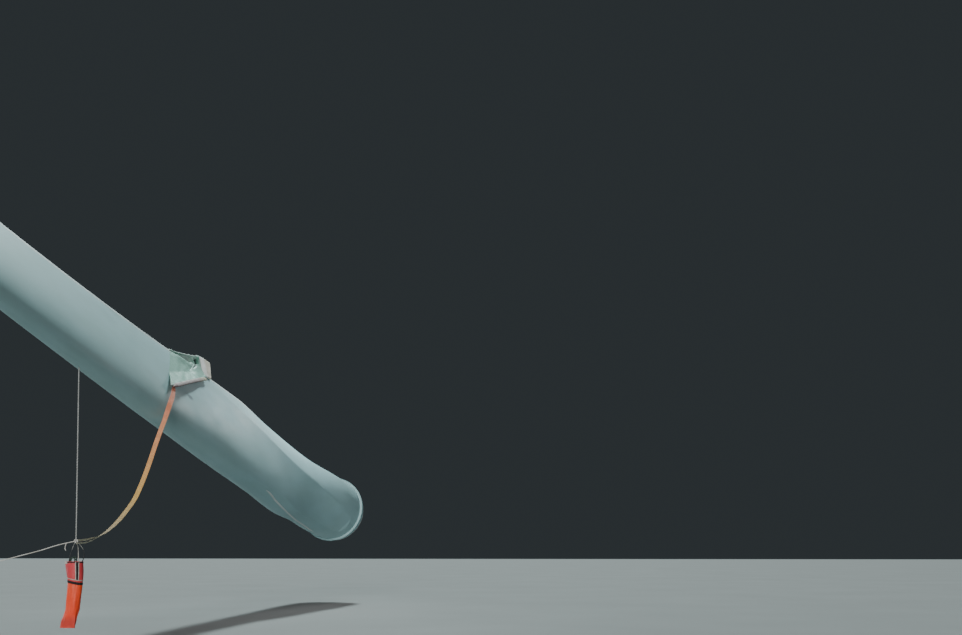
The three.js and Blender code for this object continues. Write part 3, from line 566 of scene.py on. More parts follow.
tape_look("tape_black", (0.006, 0.006, 0.007), (0.02, 0.019, 0.02))
tape_look("tape_pale", (0.42, 0.4, 0.36), (0.68, 0.66, 0.6))
for name, middle, tilt, width, thickness, *look in AROUND_BAG:
    angles = evenly(144)[:, None] + np.zeros((1, 9))
    across = np.linspace(-width / 2, width / 2, 9)
    heights = middle - tilt * law(BAG_ROWS, middle)[1] * np.cos(angles) + across
    bag_trim(name, heights, angles, thickness, "joined", *look)
for name, middle, half, top, bottom, thickness, look in DOWN_BAG:
    heights = np.linspace(top, bottom, 60)[:, None] + np.zeros((1, 9))
    angles = middle + np.linspace(-1, 1, 9) * half / law(BAG_ROWS, heights)[1]
    bag_trim(name, heights, angles, thickness, "paired", look)


# Bag lines and stowed rope
# Three flat tapes carry the bag from the knot, each sewn inside the mouth. The two outer ones are
# black with pale upper ends. A few turns of dark rope stand out of the mouth.
BAG_LINES = {
    # places beside the knot and above the origin
    "bag_handle_left": ((-0.012, -1.222), (-0.035, -1.28), (-0.068, -1.4), (-0.092, -1.575)),
    "bag_handle_middle": ((0.014, -1.23), (0.044, -1.3), (0.066, -1.42), (0.084, -1.575)),
    "bag_handle_right": ((0.03, -1.225), (0.084, -1.275), (0.152, -1.36), (0.172, -1.455), (0.14, -1.575)),
}
LINE_WIDTH, LINE_THICKNESS = 0.025, 0.004
STOWED_RADIUS = 0.009
STOWED_TURNS = [
    # middle beside the knot, half width, half height, angle seen from above
    (-0.03, 0.06, 0.075, 0.2), (0.0, 0.045, 0.09, -0.5), (-0.055, 0.035, 0.06, 1.1),
    (0.03, 0.05, 0.05, 0.7),
]

tree = new_look("tape_dipped", 0.8)
dipped = shades(tree, share_along(tree, "Z", -1.36, -1.3), (0.0, 0.012), (1.0, (0.72, 0.7, 0.65)))
ribs = woven(tree, 0.003, 0.002)
paint(tree, Base_Color=product(tree, dipped, shades(tree, ribs, (0.0, 0.75), (0.7, 1))))
relief(tree, (ribs, 0.0007))
for name, route in BAG_LINES.items():
    beside, up = np.array(route).T
    path = through(np.stack([KNOT_AT[0] + 0 * up, KNOT_AT[1] + beside, up], -1), 14)
    twist = np.linspace(0.3, 1.3, len(path))[:, None]
    reference = np.cos(twist) * [1, 0, 0] + np.sin(twist) * [0, 1, 0.2]
    line = surface(name + "_tape", carried(path, reference, flat_section(LINE_WIDTH, LINE_THICKNESS, 8)))
    dress(line, "tape_pale" if name == "bag_handle_middle" else "tape_dipped", "band_cloth", name)

rope_look("rope_dark", (0.012, 0.03, 0.024), (0.05, 0.085, 0.06), (0.02, 0.03, 0.02))
for number, (middle, width, tall, tip) in enumerate(STOWED_TURNS, 1):
    across = width * np.cos(turn)
    hoop = np.stack([np.sin(tip) * across, np.cos(tip) * across, tall * np.sin(turn)], -1)
    hoop += [KNOT_AT[0], KNOT_AT[1] + middle, BAG_TOP - 0.005]
    laid_rope(f"stowed_rope_{number}", hoop, hoop - hoop.mean(0), STOWED_RADIUS, "rope_dark", joined=True)


# Blade skin
# Two shells of glass laminate under pale gelcoat, bonded along the leading and trailing edges.
# The round root blends into an aerofoil, and the pressure side has a flat panel near the root.
SPAN = 39.0
CONE = math.radians(6.5)
PREBEND_TIP = 3.0
TIP_PITCH, TWIST = math.radians(60.6), math.radians(13)
CAMBER = 0.02
BLUNT_EDGE = 0.024
FOIL_THICKNESS = 0.45
FOIL_LAW = [(1.4845, 0.5), (-0.63, 1), (-1.758, 2), (1.4215, 3), (-0.518, 4)]
SKIN_GAP = 0.0003
ROOT_WALL, TIP_WALL = 0.060, 0.014
SHELL_START, SHELL_END = 0.0603, 38.6797
FINE_FROM, FINE_TO = 1.4, 9
STATIONS = np.array([
    # distance out, chord, thickness over chord, place of the pitch axis over chord
    [0, 2.0, 1, 0.5], [1.5, 2.0, 1, 0.5], [3.5, 2.11, 0.82, 0.45], [6, 2.67, 0.52, 0.38],
    [8, 2.81, 0.4, 0.33], [10, 2.76, 0.33, 0.33], [14, 2.43, 0.27, 0.325], [20, 1.92, 0.22, 0.32],
    [26, 1.5, 0.19, 0.31], [32, 1.12, 0.18, 0.305], [36, 0.89, 0.17, 0.3], [38, 0.655, 0.17, 0.3],
    [39, 0.28, 0.17, 0.3],
])
FLAT_PANEL = np.array([
    # distance out, lower line, upper line, flatness
    [0.9, 0.16, 0.17, 1], [1.2, 0.07, 0.25, 1], [2.5, 0.04, 0.31, 1], [4, 0.04, 0.375, 1],
    [5.6, 0.06, 0.43, 0.9], [7, 0.1, 0.53, 0.7], [9, 0.1, 0.71, 0.45], [12, 0.1, 1, 0],
])
SKIN_COLUMNS = (10, 34, 28)
SCUFF_AT, SMUDGE_AT = (12.8, 0.444), (15.2, 0.86)


def half_section(x, share):
    """Chord place u, half thickness and mean line at a share of the way round from the leading
    edge: an ellipse where the blade is round, an aerofoil with a blunt end where it is thin."""
    chord, thick, axis = law(STATIONS, x)
    along = (1 - np.cos(np.pi * share)) / 2
    rounded = np.clip((thick - FOIL_THICKNESS) / (1 - FOIL_THICKNESS), 0, 1)
    ellipse = thick * np.sqrt(along * (1 - along))
    blunt = BLUNT_EDGE * (1 - rounded) / chord
    tail = np.clip(2 * (1 - along) / np.maximum(blunt, 1e-6), 0, 1)
    foil = thick * sum(factor * along**power for factor, power in FOIL_LAW) + blunt * along / 2
    foil = foil * np.sqrt(1 - (1 - tail) ** 2)
    mean = -CAMBER * (1 - rounded) * 4 * along * (1 - along)
    return (along - axis) * chord, (rounded * ellipse + (1 - rounded) * foil) * chord, mean * chord


def section_line(x, share, side, inset=0.0):
    """u and v of the skin at x, at a share of the way round: side is 1 for the pressure side and
    -1 for the other. The flat panel is the straight line between its two lines."""
    u, half, mean = half_section(x, share)
    if side > 0:
        low, high, flat = law(FLAT_PANEL, x)
        u0, half0, mean0 = half_section(x, low)
        u1, half1, mean1 = half_section(x, high)
        s = (u - u0) / (u1 - u0)
        straight = (half0 + mean0) * (1 - s) + (half1 + mean1) * s - mean
        inside = (share > low) & (share < high) & (x >= FLAT_PANEL[0, 0])
        half = np.where(inside, half + (np.minimum(half, straight) - half) * flat, half)
    chord, _, axis = law(STATIONS, x)
    middle = (0.5 - axis) * chord
    out = np.maximum(half - inset, SKIN_GAP / 2)
    return middle + (u - middle) * (1 - 2 * inset / chord), mean + side * out


def tilted(x, y, z):
    """A point of the blade's own frame, whose x runs out along the span, in the part's frame."""
    x = x + 0 * z
    forward = x * math.cos(CONE) - z * math.sin(CONE)
    return np.stack([forward, y + 0 * z, x * math.sin(CONE) + z * math.cos(CONE)], -1)


def place(x, u, v):
    """Section place u, v at x to the part's frame: turned by the pitch, which the twist adds to
    near the root, moved by the bend, and tilted up by the cone angle."""
    pitch = TIP_PITCH + TWIST * (1 - x / SPAN) ** 2
    bend = PREBEND_TIP * (x / SPAN) ** 2
    return tilted(x, bend * math.sin(TIP_PITCH) - u * np.cos(pitch) + v * np.sin(pitch),
                  bend * math.cos(TIP_PITCH) + u * np.sin(pitch) + v * np.cos(pitch))


def skin(x, share, side, inset=0.0):
    """Points of the skin, or of a line inset below it."""
    return place(x, *section_line(x, share, side, inset))


def spot(tree, middle, reach, grey, full_at):
    """Greys round a place of the skin, from 0 at a distance of reach along each axis to the full
    grey nearer to it."""
    x, share = np.array(middle)[:, None]
    centre = skin(x, share, 1)[0]
    at = added(tree, "Mapping", "Vector", Vector=added(tree, "TexCoord", "Object"),
               Scale=[1 / r for r in reach], Location=[-c / r for c, r in zip(centre, reach)])
    ball = added(tree, "TexGradient", "Fac", [("gradient_type", "QUADRATIC_SPHERE")], Vector=at)
    return shades(tree, ball, (0.0, 0), (full_at, grey))


tree = new_look("gelcoat", 0.6)
tint = patchy(tree, 0.35, 3, (0.35, (0.33, 0.53, 0.57)), (0.65, (0.38, 0.57, 0.59)), stretch=(3, 1, 1))
streaks = patchy(tree, 2.2, 6, (0.3, (0.93, 0.93, 0.91)), (0.62, 1), stretch=(2.5, 1, 1))
specks = patchy(tree, 26, 3, (0.2, (0.8, 0.8, 0.78)), (0.3, 1))
scuff = spot(tree, SCUFF_AT, (0.24, 0.11, 0.11), 0.75, 0.35)
smudge = spot(tree, SMUDGE_AT, (0.6, 0.2, 0.2), 0.35, 0.5)
scuffed = mixed(tree, scuff, product(tree, tint, streaks, specks), (0.07, 0.12, 0.15))
paint(tree, Base_Color=mixed(tree, smudge, scuffed, (0.2, 0.36, 0.34)), Specular_IOR_Level=0.25,
      Roughness=patchy(tree, 1.4, 6, (0.3, 0.5), (0.7, 0.72), stretch=(2, 1, 1)))
relief(tree, (cloud(tree, 1.2, 2), 0.0015))

x = np.concatenate([np.linspace(SHELL_START, FINE_FROM, 40, endpoint=False),
                    np.linspace(FINE_FROM, FINE_TO, 96, endpoint=False),
                    np.linspace(FINE_TO, SHELL_END, 150)])[:, None]
low, high, _ = law(FLAT_PANEL, x)
high = np.clip(high, low + 0.06, 0.85)
below, within, above = (np.linspace(0, 1, n, endpoint=False) for n in SKIN_COLUMNS)
above = np.append(above, 1)
share = np.concatenate([low * below, low + (high - low) * within, high + (1 - high) * above], 1)
wall = ROOT_WALL + (TIP_WALL - ROOT_WALL) * x / SPAN
for word, side in (("pressure", 1), ("suction", -1)):
    both = np.concatenate([skin(x, share, side), skin(x, share, side, wall)[:, ::-1]], 1)
    dress(surface(word + "_skin", both, ends="paired"), "gelcoat", "gelcoat", word + "_shell")


# Beam inside the blade
# Two spar caps and two webs of bare glass laminate, bonded inside the shells, and the bulkhead.
# They keep the solids' own shapes.
tree = new_look("laminate", 0.7)
rovings = cloud(tree, 120, 2, (12, 1, 1))
paint(tree, Base_Color=shades(tree, rovings, (0.3, (0.33, 0.36, 0.22)), (0.7, (0.5, 0.52, 0.36))))
relief(tree, (rovings, 0.001))
for name in ("pressure_spar_cap", "suction_spar_cap", "leading_web", "trailing_web", "root_bulkhead"):
    own_shape = bpy.data.objects[name].data
    own_shape.materials.clear()
    own_shape.materials.append(looks["laminate"])


# Root ring
# A machined steel ring that closes the laminate at the root. Sixty-four plain holes in its
# face, each with a small countersink, take the studs of the hub bearing.
RING_INNER, RING_OUTER, RING_DEPTH = 0.860, 1.000, 0.060
RING_LIP = 0.02
HOLE_COUNT = 64
HOLE_RADIUS, HOLE_DEPTH = 0.018, 0.04
COUNTERSINK = 0.004
CELL_ALONG, CELL_UP = 8, 12
MERGE_WITHIN = 2e-5
SHARP_STEEL = math.radians(30)


def many(name, grids, filled=(0,)):
    """One mesh of many like grids whose columns close. filled names the rows, 0 for the first and
    -1 for the last, that one face closes in each grid."""
    count, rows, columns = grids.shape[:3]
    k, i, j = np.meshgrid(np.arange(count), np.arange(rows - 1), np.arange(columns), indexing="ij")
    at = (k * rows + i) * columns
    after = at + (j + 1) % columns
    faces = np.stack([at + j, after, after + columns, at + columns + j], -1).reshape(-1, 4).tolist()
    for row in filled:
        first = (np.arange(count) * rows + row % rows) * columns
        faces += (first[:, None] + np.arange(columns)[None, ::-1]).tolist()
    mesh = bpy.data.meshes.new(name)
    mesh.from_pydata(grids.reshape(-1, 3).tolist(), [], faces)
    return mesh


def whole(name, *meshes):
    """Joins meshes into one piece, merges the points that meet, and turns its faces outwards."""
    joined = bmesh.new()
    for mesh in meshes:
        joined.from_mesh(mesh)
        bpy.data.meshes.remove(mesh)
    bmesh.ops.remove_doubles(joined, verts=joined.verts, dist=MERGE_WITHIN)
    bmesh.ops.recalc_face_normals(joined, faces=joined.faces)
    mesh = bpy.data.meshes.new(name)
    joined.to_mesh(mesh)
    joined.free()
    mesh.shade_smooth()
    mesh.set_sharp_from_angle(angle=SHARP_STEEL)
    return linked(name, mesh)


def metal(name, dark, light, roughness, grain, rust):
    """Metal with grain drawn out along the surface, and dull brown patches where it is rusted."""
    tree = new_look(name, roughness, 1.0)
    lines = cloud(tree, grain, 3, (1, 9, 1))
    patches = patchy(tree, 14, 6, (0.62 - 0.2 * rust, 0), (0.8, rust))
    colour = shades(tree, lines, (0.3, dark), (0.7, light))
    paint(tree, Base_Color=mixed(tree, patches, colour, (0.16, 0.09, 0.05)),
          Roughness=patchy(tree, 30, 4, (0.3, roughness - 0.1), (0.7, roughness + 0.15)))
    relief(tree, (lines, 0.0004))


metal("root_steel", (0.33, 0.35, 0.36), (0.5, 0.52, 0.53), 0.38, 90, 0.5)

# The ring's face is one cell for each hole. A cell runs from the hole's bottom up its wall, over
# the countersink, and out to the cell's edge, which is a patch of the ring.
half_up = (RING_OUTER - RING_INNER) / 2
middle = RING_INNER + half_up
along = np.linspace(-1, 1, CELL_ALONG, endpoint=False)
tall = np.linspace(-1, 1, CELL_UP, endpoint=False)
edge_a = np.concatenate([along, 1 + 0 * tall, -along, -1 + 0 * tall]) * (math.pi / HOLE_COUNT * middle)
edge_b = np.concatenate([-1 + 0 * along, tall, 1 + 0 * along, -tall]) * half_up
far = np.hypot(edge_a, edge_b)
mouth = HOLE_RADIUS + COUNTERSINK
depth, radius, out = np.array([
    [HOLE_DEPTH, 0.3 * HOLE_RADIUS, 0], [HOLE_DEPTH * 0.9, HOLE_RADIUS, 0], [COUNTERSINK, HOLE_RADIUS, 0],
    [0, mouth, 0], [0, mouth, 0.5], [0, mouth, 1],
]).T[..., None]
a, b = (edge / far * radius * (1 - out) + edge * out for edge in (edge_a, edge_b))
cell_turn = np.arange(HOLE_COUNT)[:, None, None] * 2 * np.pi / HOLE_COUNT
angle, radius = a / middle + cell_turn, middle + b + 0 * cell_turn
holes = many("cells", tilted(depth, radius * np.cos(angle), radius * np.sin(angle)))
angle = (cell_turn[..., 0] + along * np.pi / HOLE_COUNT).reshape(1, -1)
ring_x, radius = np.array([[0, RING_OUTER], [RING_LIP, RING_OUTER], [RING_DEPTH, RING_OUTER],
                           [RING_DEPTH, RING_INNER], [RING_LIP, RING_INNER], [0, RING_INNER]]).T[..., None]
sides = many("sides", tilted(ring_x, radius * np.cos(angle), radius * np.sin(angle))[None], ())
dress(whole("root_ring_drilled", holes, sides), "root_steel", "root_steel", "root_flange")


# Hatch and bulkhead screws
# A pressed metal cover over the way into the blade, with two bow handles. Hexagon screws with
# washers hold the cover and the bulkhead.
HATCH_DROP = 0.42
HATCH_RADIUS = 0.2897
HATCH_PROFILE = [
    # distance out along the span, radius
    (0.024, 0.001), (0.024, HATCH_RADIUS), (0.004, HATCH_RADIUS), (0.002, HATCH_RADIUS - 0.002),
    (0.002, 0.236), (0.008, 0.226), (0.008, 0.12), (0.003, 0.11), (0.003, 0.07), (0.008, 0.06),
    (0.008, 0.001),
]
HANDLE_BOW = [[0.004, 0, -0.073], [-0.018, 0, -0.073], [-0.031, 0, -0.068], [-0.036, 0, -0.055],
              [-0.036, 0, 0], [-0.036, 0, 0.055], [-0.031, 0, 0.068], [-0.018, 0, 0.073], [0.004, 0, 0.073]]
HANDLE_SPREAD, HANDLE_BAR = 0.33, 0.007
SCREW_RADIUS, SCREW_HEIGHT = 0.009, 0.007
SCREW_RINGS = ((16, 0.262, HATCH_DROP), (48, 0.825, 0))


def spun(name, profile, sides=96, drop=0.0, ends="joined"):
    """A profile of distance out and radius, spun about the blade's axis or one that lies lower."""
    x, radius = np.array(profile, float).T[..., None]
    angle = evenly(sides)
    grid = tilted(x + 0 * angle, radius * np.cos(angle), radius * np.sin(angle) - drop)
    return surface(name, grid, ends=ends)


metal("cast_metal", (0.4, 0.41, 0.42), (0.56, 0.57, 0.58), 0.42, 60, 0.1)
dress(spun("hatch_pressed", HATCH_PROFILE, 96, HATCH_DROP, "flat"), "cast_metal", "tip_metal", "hatch_cover")
bent = carried(through(HANDLE_BOW, 8), (0, 1, 0), oval(evenly(16), HANDLE_BAR, HANDLE_BAR))
for name, side in (("hatch_handle_left", -1), ("hatch_handle_right", 1)):
    bow = tilted(bent[..., 0], bent[..., 1] + side * HANDLE_SPREAD / 2, bent[..., 2] - HATCH_DROP)
    dress(surface(name + "_bow", bow), "root_steel", "root_steel", name)

# A screw's rows, from the washer's rim to the middle of its head. A hexagon's edge lies at the
# cosine of 30 degrees over that of the angle from its nearest flat.
angle = evenly(12)
hexagon = math.cos(math.pi / 6) / np.cos((angle + np.pi / 6) % (np.pi / 3) - np.pi / 6)
x = np.array([0.001, -0.0015, -0.0015, -SCREW_HEIGHT, -SCREW_HEIGHT - 0.001, -SCREW_HEIGHT - 0.001])[:, None]
reach = np.stack([1.5 + 0 * angle, 1.45 + 0 * angle, hexagon, hexagon, 0.9 * hexagon, 0.05 + 0 * angle])
screws = []
for count, radius, drop in SCREW_RINGS:
    for at in 2 * np.pi * (np.arange(count) + 0.5) / count:
        y = radius * np.cos(at) + reach * SCREW_RADIUS * np.cos(angle)
        z = radius * np.sin(at) - drop + reach * SCREW_RADIUS * np.sin(angle)
        screws.append(tilted(x + 0 * y, y, z))
screws = whole("bulkhead_screws", many("screws", np.stack(screws), (0, -1)))
dress(screws, "root_steel", "root_steel")


# Rain collar
# A ring moulded onto the laminate near the root, which throws water off before it reaches the
# hub. Two lips with a groove between them, under the same gelcoat as the skin.
COLLAR_PROFILE = [
    # distance out along the span, radius
    (0.42, 0.9985), (0.42, 1.012), (0.4235, 1.045), (0.429, 1.062), (0.436, 1.069), (0.4405, 1.0685),
    (0.4415, 1.062), (0.4585, 1.062), (0.4595, 1.0685), (0.464, 1.069), (0.471, 1.062), (0.4765, 1.045),
    (0.48, 1.012), (0.48, 0.9985),
]

dress(spun("rain_collar_moulded", COLLAR_PROFILE, 192), "gelcoat", "gelcoat", "rain_collar")


# Receptors and drain plug
# Round metal discs let into both skins, wired to the root against lightning, each with a socket
# in its middle. A rubber plug of the same kind drains the tip.
RECEPTOR_STATIONS = (21.0, 31.0, 37.0)
RECEPTOR_SHARE = 6.5 / 16
RECEPTOR_SIZE = (0.028, 0.005)
PLUG_PLACE, PLUG_SIZE = (37.9, 12.5 / 16, -1), (0.014, 0.004)
DISC_PROFILE = [
    # share of the height, share of the radius
    (-0.3, 1), (0.5, 1), (0.85, 0.95), (1, 0.86), (1, 0.34), (0.3, 0.3), (0.3, 0.02),
]


def disc_on_skin(name, x, share, side, radius, height):
    """A rounded disc whose axis is square to the skin: the cross product of the directions along
    the span and round the section."""
    seat, ahead, aside, above = (
        skin(np.array([x + dx]), np.array([share + ds]), side, -lift)[0]
        for dx, ds, lift in ((0, 0, 0), (0.01, 0, 0), (0, 0.001, 0), (0, 0, 0.01)))
    along = unit(ahead - seat)
    normal = unit(np.cross(along, aside - seat))
    normal *= np.sign(normal @ (above - seat))
    angle = evenly(48)[None, :, None]
    up, out = np.array(DISC_PROFILE).T[..., None, None]
    spoke = np.cos(angle) * along + np.sin(angle) * np.cross(normal, along)
    return surface(name, seat + up * height * normal + out * radius * spoke)


for number, x in enumerate(RECEPTOR_STATIONS, 1):
    for word, side in (("pressure", 1), ("suction", -1)):
        disc = disc_on_skin(f"receptor_{word}_disc_{number}", x, RECEPTOR_SHARE, side, *RECEPTOR_SIZE)
        dress(disc, "cast_metal", "tip_metal", f"receptor_{word}_{number}")

tree = new_look("black_rubber", 0.75)
paint(tree, Base_Color=patchy(tree, 12, 6, (0.35, (0.016, 0.017, 0.018)), (0.75, (0.05, 0.052, 0.054))))
relief(tree, (cloud(tree, 160, 3), 0.0008))
plug = disc_on_skin("drain_plug_moulded", *PLUG_PLACE, *PLUG_SIZE)
dress(plug, "black_rubber", "black_rubber", "drain_plug")


# Leading edge shield
# A flexible film bonded over the outer third of the leading edge against rain. It is thickest on
# the edge and feathered out on both skins.
SHIELD_FROM = 25.0
SHIELD_SHARE = 3 / 16
SHIELD_THICKNESS = 0.0045
FILM_RIM, FILM_INTO_SKIN = 0.0008, 0.001


def edge_film(name, x, near, edge, thickness):
    """A film round an edge of the blade: from the share near, on the pressure side, to the share
    edge, and back to near on the other side. It is thickest in the middle."""
    share = near + (edge - near) * np.linspace(0, 1, 25)
    arch = np.clip(np.cos(np.linspace(-1, 1, 49) * np.pi / 2), 0, 1) ** 0.5
    outer, inner = (
        np.concatenate([skin(x, share, 1, -lift[:25]), skin(x, share[:, -2::-1], -1, -lift[25:])], 1)
        for lift in (FILM_RIM + (thickness - FILM_RIM) * arch, 0 * arch - FILM_INTO_SKIN))
    return surface(name, np.concatenate([outer, inner[:, ::-1]], 1), ends="paired")


tree = new_look("shield_film", 0.6)
pitted = cloud(tree, 60, 5)
film_tint = patchy(tree, 1.5, 4, (0.3, (0.42, 0.5, 0.5)), (0.7, (0.48, 0.56, 0.55)))
paint(tree, Base_Color=mixed(tree, shades(tree, pitted, (0.25, 1), (0.36, 0)), film_tint, (0.3, 0.3, 0.28)))
relief(tree, (pitted, 0.0012))
x = np.linspace(SHIELD_FROM, SHELL_END, 120)[:, None]
film = edge_film("edge_shield_film", x, SHIELD_SHARE + 0 * x, 0, SHIELD_THICKNESS)
dress(film, "shield_film", "edge_shield", "leading_edge_shield")


# Edge highlights
# Pale coats painted over the edges as highlights: a band 85 mm wide on each side of the trailing edge, as
# painted light along its rim, and a raised pale bead that winds round the leading edge near the root, as a
# painted highlight along the ridge there.
COAT_FROM, COAT_WIDTH, COAT_THICKNESS = 1.6, 0.085, 0.003
BEAD_ROWS = np.array([
    # span, share of the way round: above 0 on the pressure side, below 0 on the suction side
    [2.1, -0.117], [3.6, -0.096], [5.58, -0.023], [7.05, 0.018], [8.09, 0.057],
])
BEAD_RADIUS = 0.026
BEAD_TAPER = 8

tree = new_look("painted_highlight_coat", 0.55)
# Painted highlight: the coats' pale tone stands in for light catching the edges.
highlight_tone = patchy(tree, 3, 5, (0.3, (0.6, 0.65, 0.65)), (0.6, (0.74, 0.79, 0.79)), stretch=(6, 1, 1))
paint(tree, Base_Color=highlight_tone)
relief(tree, (cloud(tree, 40, 3, (6, 1, 1)), 0.0006))

# The coat begins at the first of many close places on the skin that has no more than its width
# of skin left to the trailing edge.
x = np.linspace(COAT_FROM, SHELL_END, 260)[:, None]
shares = np.linspace(0.7, 1, 500)
steps = np.linalg.norm(np.diff(skin(x, shares[None], 1), axis=1), axis=2)
left = np.cumsum(steps[:, ::-1], 1)[:, ::-1]
coat = edge_film("trailing_edge_highlight_coat", x, shares[(left > COAT_WIDTH).sum(1)][:, None], 1, COAT_THICKNESS)
dress(coat, "painted_highlight_coat", "gelcoat")

x = np.linspace(BEAD_ROWS[0, 0], BEAD_ROWS[-1, 0], 120)
share = law(BEAD_ROWS, x)[0]
bead_path = np.where(share[:, None] > 0, skin(x, np.abs(share), 1), skin(x, np.abs(share), -1))
from_end = np.minimum(np.arange(120), 119 - np.arange(120))[:, None, None]
bead_section = oval(evenly(10), BEAD_RADIUS, BEAD_RADIUS) * np.sqrt(np.clip(from_end / BEAD_TAPER, 0.05, 1))
dress(surface("leading_edge_highlight_bead", carried(bead_path, (0, 1, 0), bead_section)), "painted_highlight_coat", "gelcoat")


# Tip block
# A cast metal tip that takes lightning. It goes on from the shells with the section that they
# end with, and is rounded off to its end.
TIP_FROM, TIP_LENGTH = 38.68, 0.32
TIP_ROUNDING = 0.93
TIP_END_RINGS = (0.8, 0.4)

out = np.sin(np.linspace(0, np.pi / 2, 28))
shrink = np.sqrt(1 - TIP_ROUNDING * out**2)
shrink = np.append(shrink, shrink[-1] * np.array(TIP_END_RINGS))[:, None]
out = np.append(out, [1, 1])[:, None]
share = np.linspace(0, 1, 49)[None]
over = section_line(np.array([[TIP_FROM]]), share, 1)
under = section_line(np.array([[TIP_FROM]]), share[:, -2:0:-1], -1)
u, v = (np.concatenate(line, 1) * shrink for line in zip(over, under))
tip = surface("tip_block_cast", place(TIP_FROM + TIP_LENGTH * out, u, v))
dress(tip, "cast_metal", "tip_metal", "tip_block")


# Edge cover
# A pad of foam in pale green coated cloth, hung over the trailing edge. The lower half of its
# front flap is a stiff board that stands off the skin. Along the edge the cloth rolls over, and
# near the block it rises in one face, with a hole where the two meet.
COVER_FROM, COVER_TO, HEM_TO = 10.7, 12.4, 14.2
FRONT_SHORT, FRONT_LONG, BACK_DROP = 0.27, 1.66, 0.52
EDGE_DROP = 0.035
RIDGE_HIGH, RIDGE_POWER = 0.335, 1.45
RIDGE_HALF_WIDTH, RIDGE_NARROWING = 0.14, 0.85
FACE_END, ROLL_START = 0.22, 0.42
FACE_LIFT, ROLL_LIFT, BACK_LIFT, CLOTH_LIFT = 0.1, 0.045, 0.105, 0.003
FACE_FOOT, ROLL_FOOT, BACK_FOOT = 0.112, 0.014, 0.015
CREASE_AT, CREASE_MORE = 0.46, 0.17
BOARD_LIFT, BOARD_LIFT_MORE = 0.075, 0.03
BULGE = 0.028
# Place and width, along the edge and up the front wall.
HOLE_ALONG, HOLE_UP = (0.16, 0.06), (0.42, 0.2)
LIP_ALONG, LIP_UP = (0.06, 0.04), (0.78, 0.2)
# Place along the edge where the wall begins, lean from there, and width.
SLIT_FOOT, SLIT_LEAN, SLIT_WIDTH = 0.21, -0.13, 0.03
FOLD_FOOT, FOLD_LEAN, FOLD_WIDTH = 0.3, 0.2, 0.014
LIP_HEIGHT, FACE_HOLE_DEPTH, SLIT_DEPTH, FOLD_DEPTH = 0.03, 0.08, 0.025, 0.012
CREASES = [
    # depth, waves along the edge, waves round the pad, start
    (0.003, 24, 0.2, 0), (0.002, 43, -0.33, 1),
]
PAD_THICKNESS = 0.026
SMOOTHINGS = 3


def stained_cloth(name, colour, worn_colour, roughness, scale, turning=None, marked=()):
    """Coated cloth: a fine weave under the coat, paler and duller patches where it is rubbed.
    turning is an axis, two places and the colour that the cloth takes from the first to the second. marked
    holds names of attributes, each with the colour that the cloth is painted where it is 1, such as painted
    shade in its hollows."""
    tree = new_look(name, roughness)
    rubbed = patchy(tree, scale, 6, (0.42, 0), (0.72, 1))
    cloth = mixed(tree, rubbed, colour, worn_colour)
    if turning:
        *where, other = turning
        cloth = mixed(tree, share_along(tree, *where), cloth, other)
    for attribute, other in marked:
        cloth = mixed(tree, added(tree, "Attribute", "Fac", [("attribute_name", attribute)]), cloth, other)
    paint(tree, Base_Color=cloth, Roughness=shades(tree, rubbed, (0, roughness), (1, roughness + 0.25)))
    relief(tree, (cloud(tree, 7, 5), 0.012), (woven(tree, 0.0016, 0.0016), 0.0004))


def over_skin(x, drop, side, lift):
    """A point above the skin at a distance drop from the trailing edge along the chord."""
    share = np.arccos(1 - 2 * np.clip(1 - drop / law(STATIONS, x)[0], 0, 1)) / np.pi
    u, v = section_line(x, share, side)
    return place(x, u, v + side * lift)


def over_edge(x, rise, v):
    """A point above the trailing edge."""
    chord, _, axis = law(STATIONS, x)
    return place(x, (1 - axis) * chord + rise, v)


# s runs along the edge from the block. f, h, c, h again and b run round the pad: up the front
# flap, up the ridge's front wall, over its top, down its back wall and down the back flap.
s = np.linspace(0, 1, 140)[:, None]
f, h, c, b = (np.linspace(*ends)[None] for ends in ((1, 0, 60), (0.02, 0.98, 26), (1, -1, 11), (0, 1, 30)))
edge_x = COVER_FROM + (COVER_TO - COVER_FROM) * s
hem_x = COVER_FROM + (HEM_TO - COVER_FROM) * s
rise = RIDGE_HIGH * (1 - s) ** RIDGE_POWER
half = RIDGE_HALF_WIDTH * (1 - RIDGE_NARROWING * s)
rolled = smooth(s, FACE_END, ROLL_START)

drop = EDGE_DROP + (FRONT_SHORT + (FRONT_LONG - FRONT_SHORT) * s - EDGE_DROP) * f
crease_at = CREASE_AT + CREASE_MORE * s
board = np.clip((f - crease_at) / (1 - crease_at), 0, 1) * (BOARD_LIFT + BOARD_LIFT_MORE * s)
lying = CLOTH_LIFT + (0.009 + 0.006 * f) * (1 - smooth(s, 0.75, 1.0))
roll = ROLL_LIFT * bell(drop, 0.08, 0.16) * (1 - smooth(s, 0.7, 1.0))
front_lift = rolled * (lying + board + roll) + (1 - rolled) * (FACE_LIFT - 0.012 * np.sin(3 * f))
front = over_skin(edge_x + (hem_x - edge_x) * f, drop, 1, front_lift)

foot_v = rolled * ROLL_FOOT + (1 - rolled) * FACE_FOOT
bulge = BULGE * bell(h, 0.93, 0.1) * rolled * (1 - s) ** 0.5
wall_v = foot_v + (half - foot_v) * h + bulge + 0.003 * np.sin(6 * h + 9 * s)
front_wall = over_edge(edge_x + 0 * h, rise * h, wall_v)
top = over_edge(edge_x + 0 * c, rise + 0.008 * (1 - c * c) * (1 - s), half * c)
back_foot = BACK_LIFT * (1 - s) + BACK_FOOT
back_wall = over_edge(edge_x + 0 * h, rise * h[:, ::-1], -(back_foot + (half - back_foot) * h[:, ::-1]))
back_lift = BACK_LIFT * (1 - s) * (1 - b) ** 1.5 + 0.014 + 0.02 * b + 0.005 * np.sin(14 * b + 5 * s)
back = over_skin(edge_x + 0 * b, EDGE_DROP + (BACK_DROP - EDGE_DROP) * b, -1, back_lift)
cloth = np.concatenate([front, front_wall, top, back_wall, back], 1)
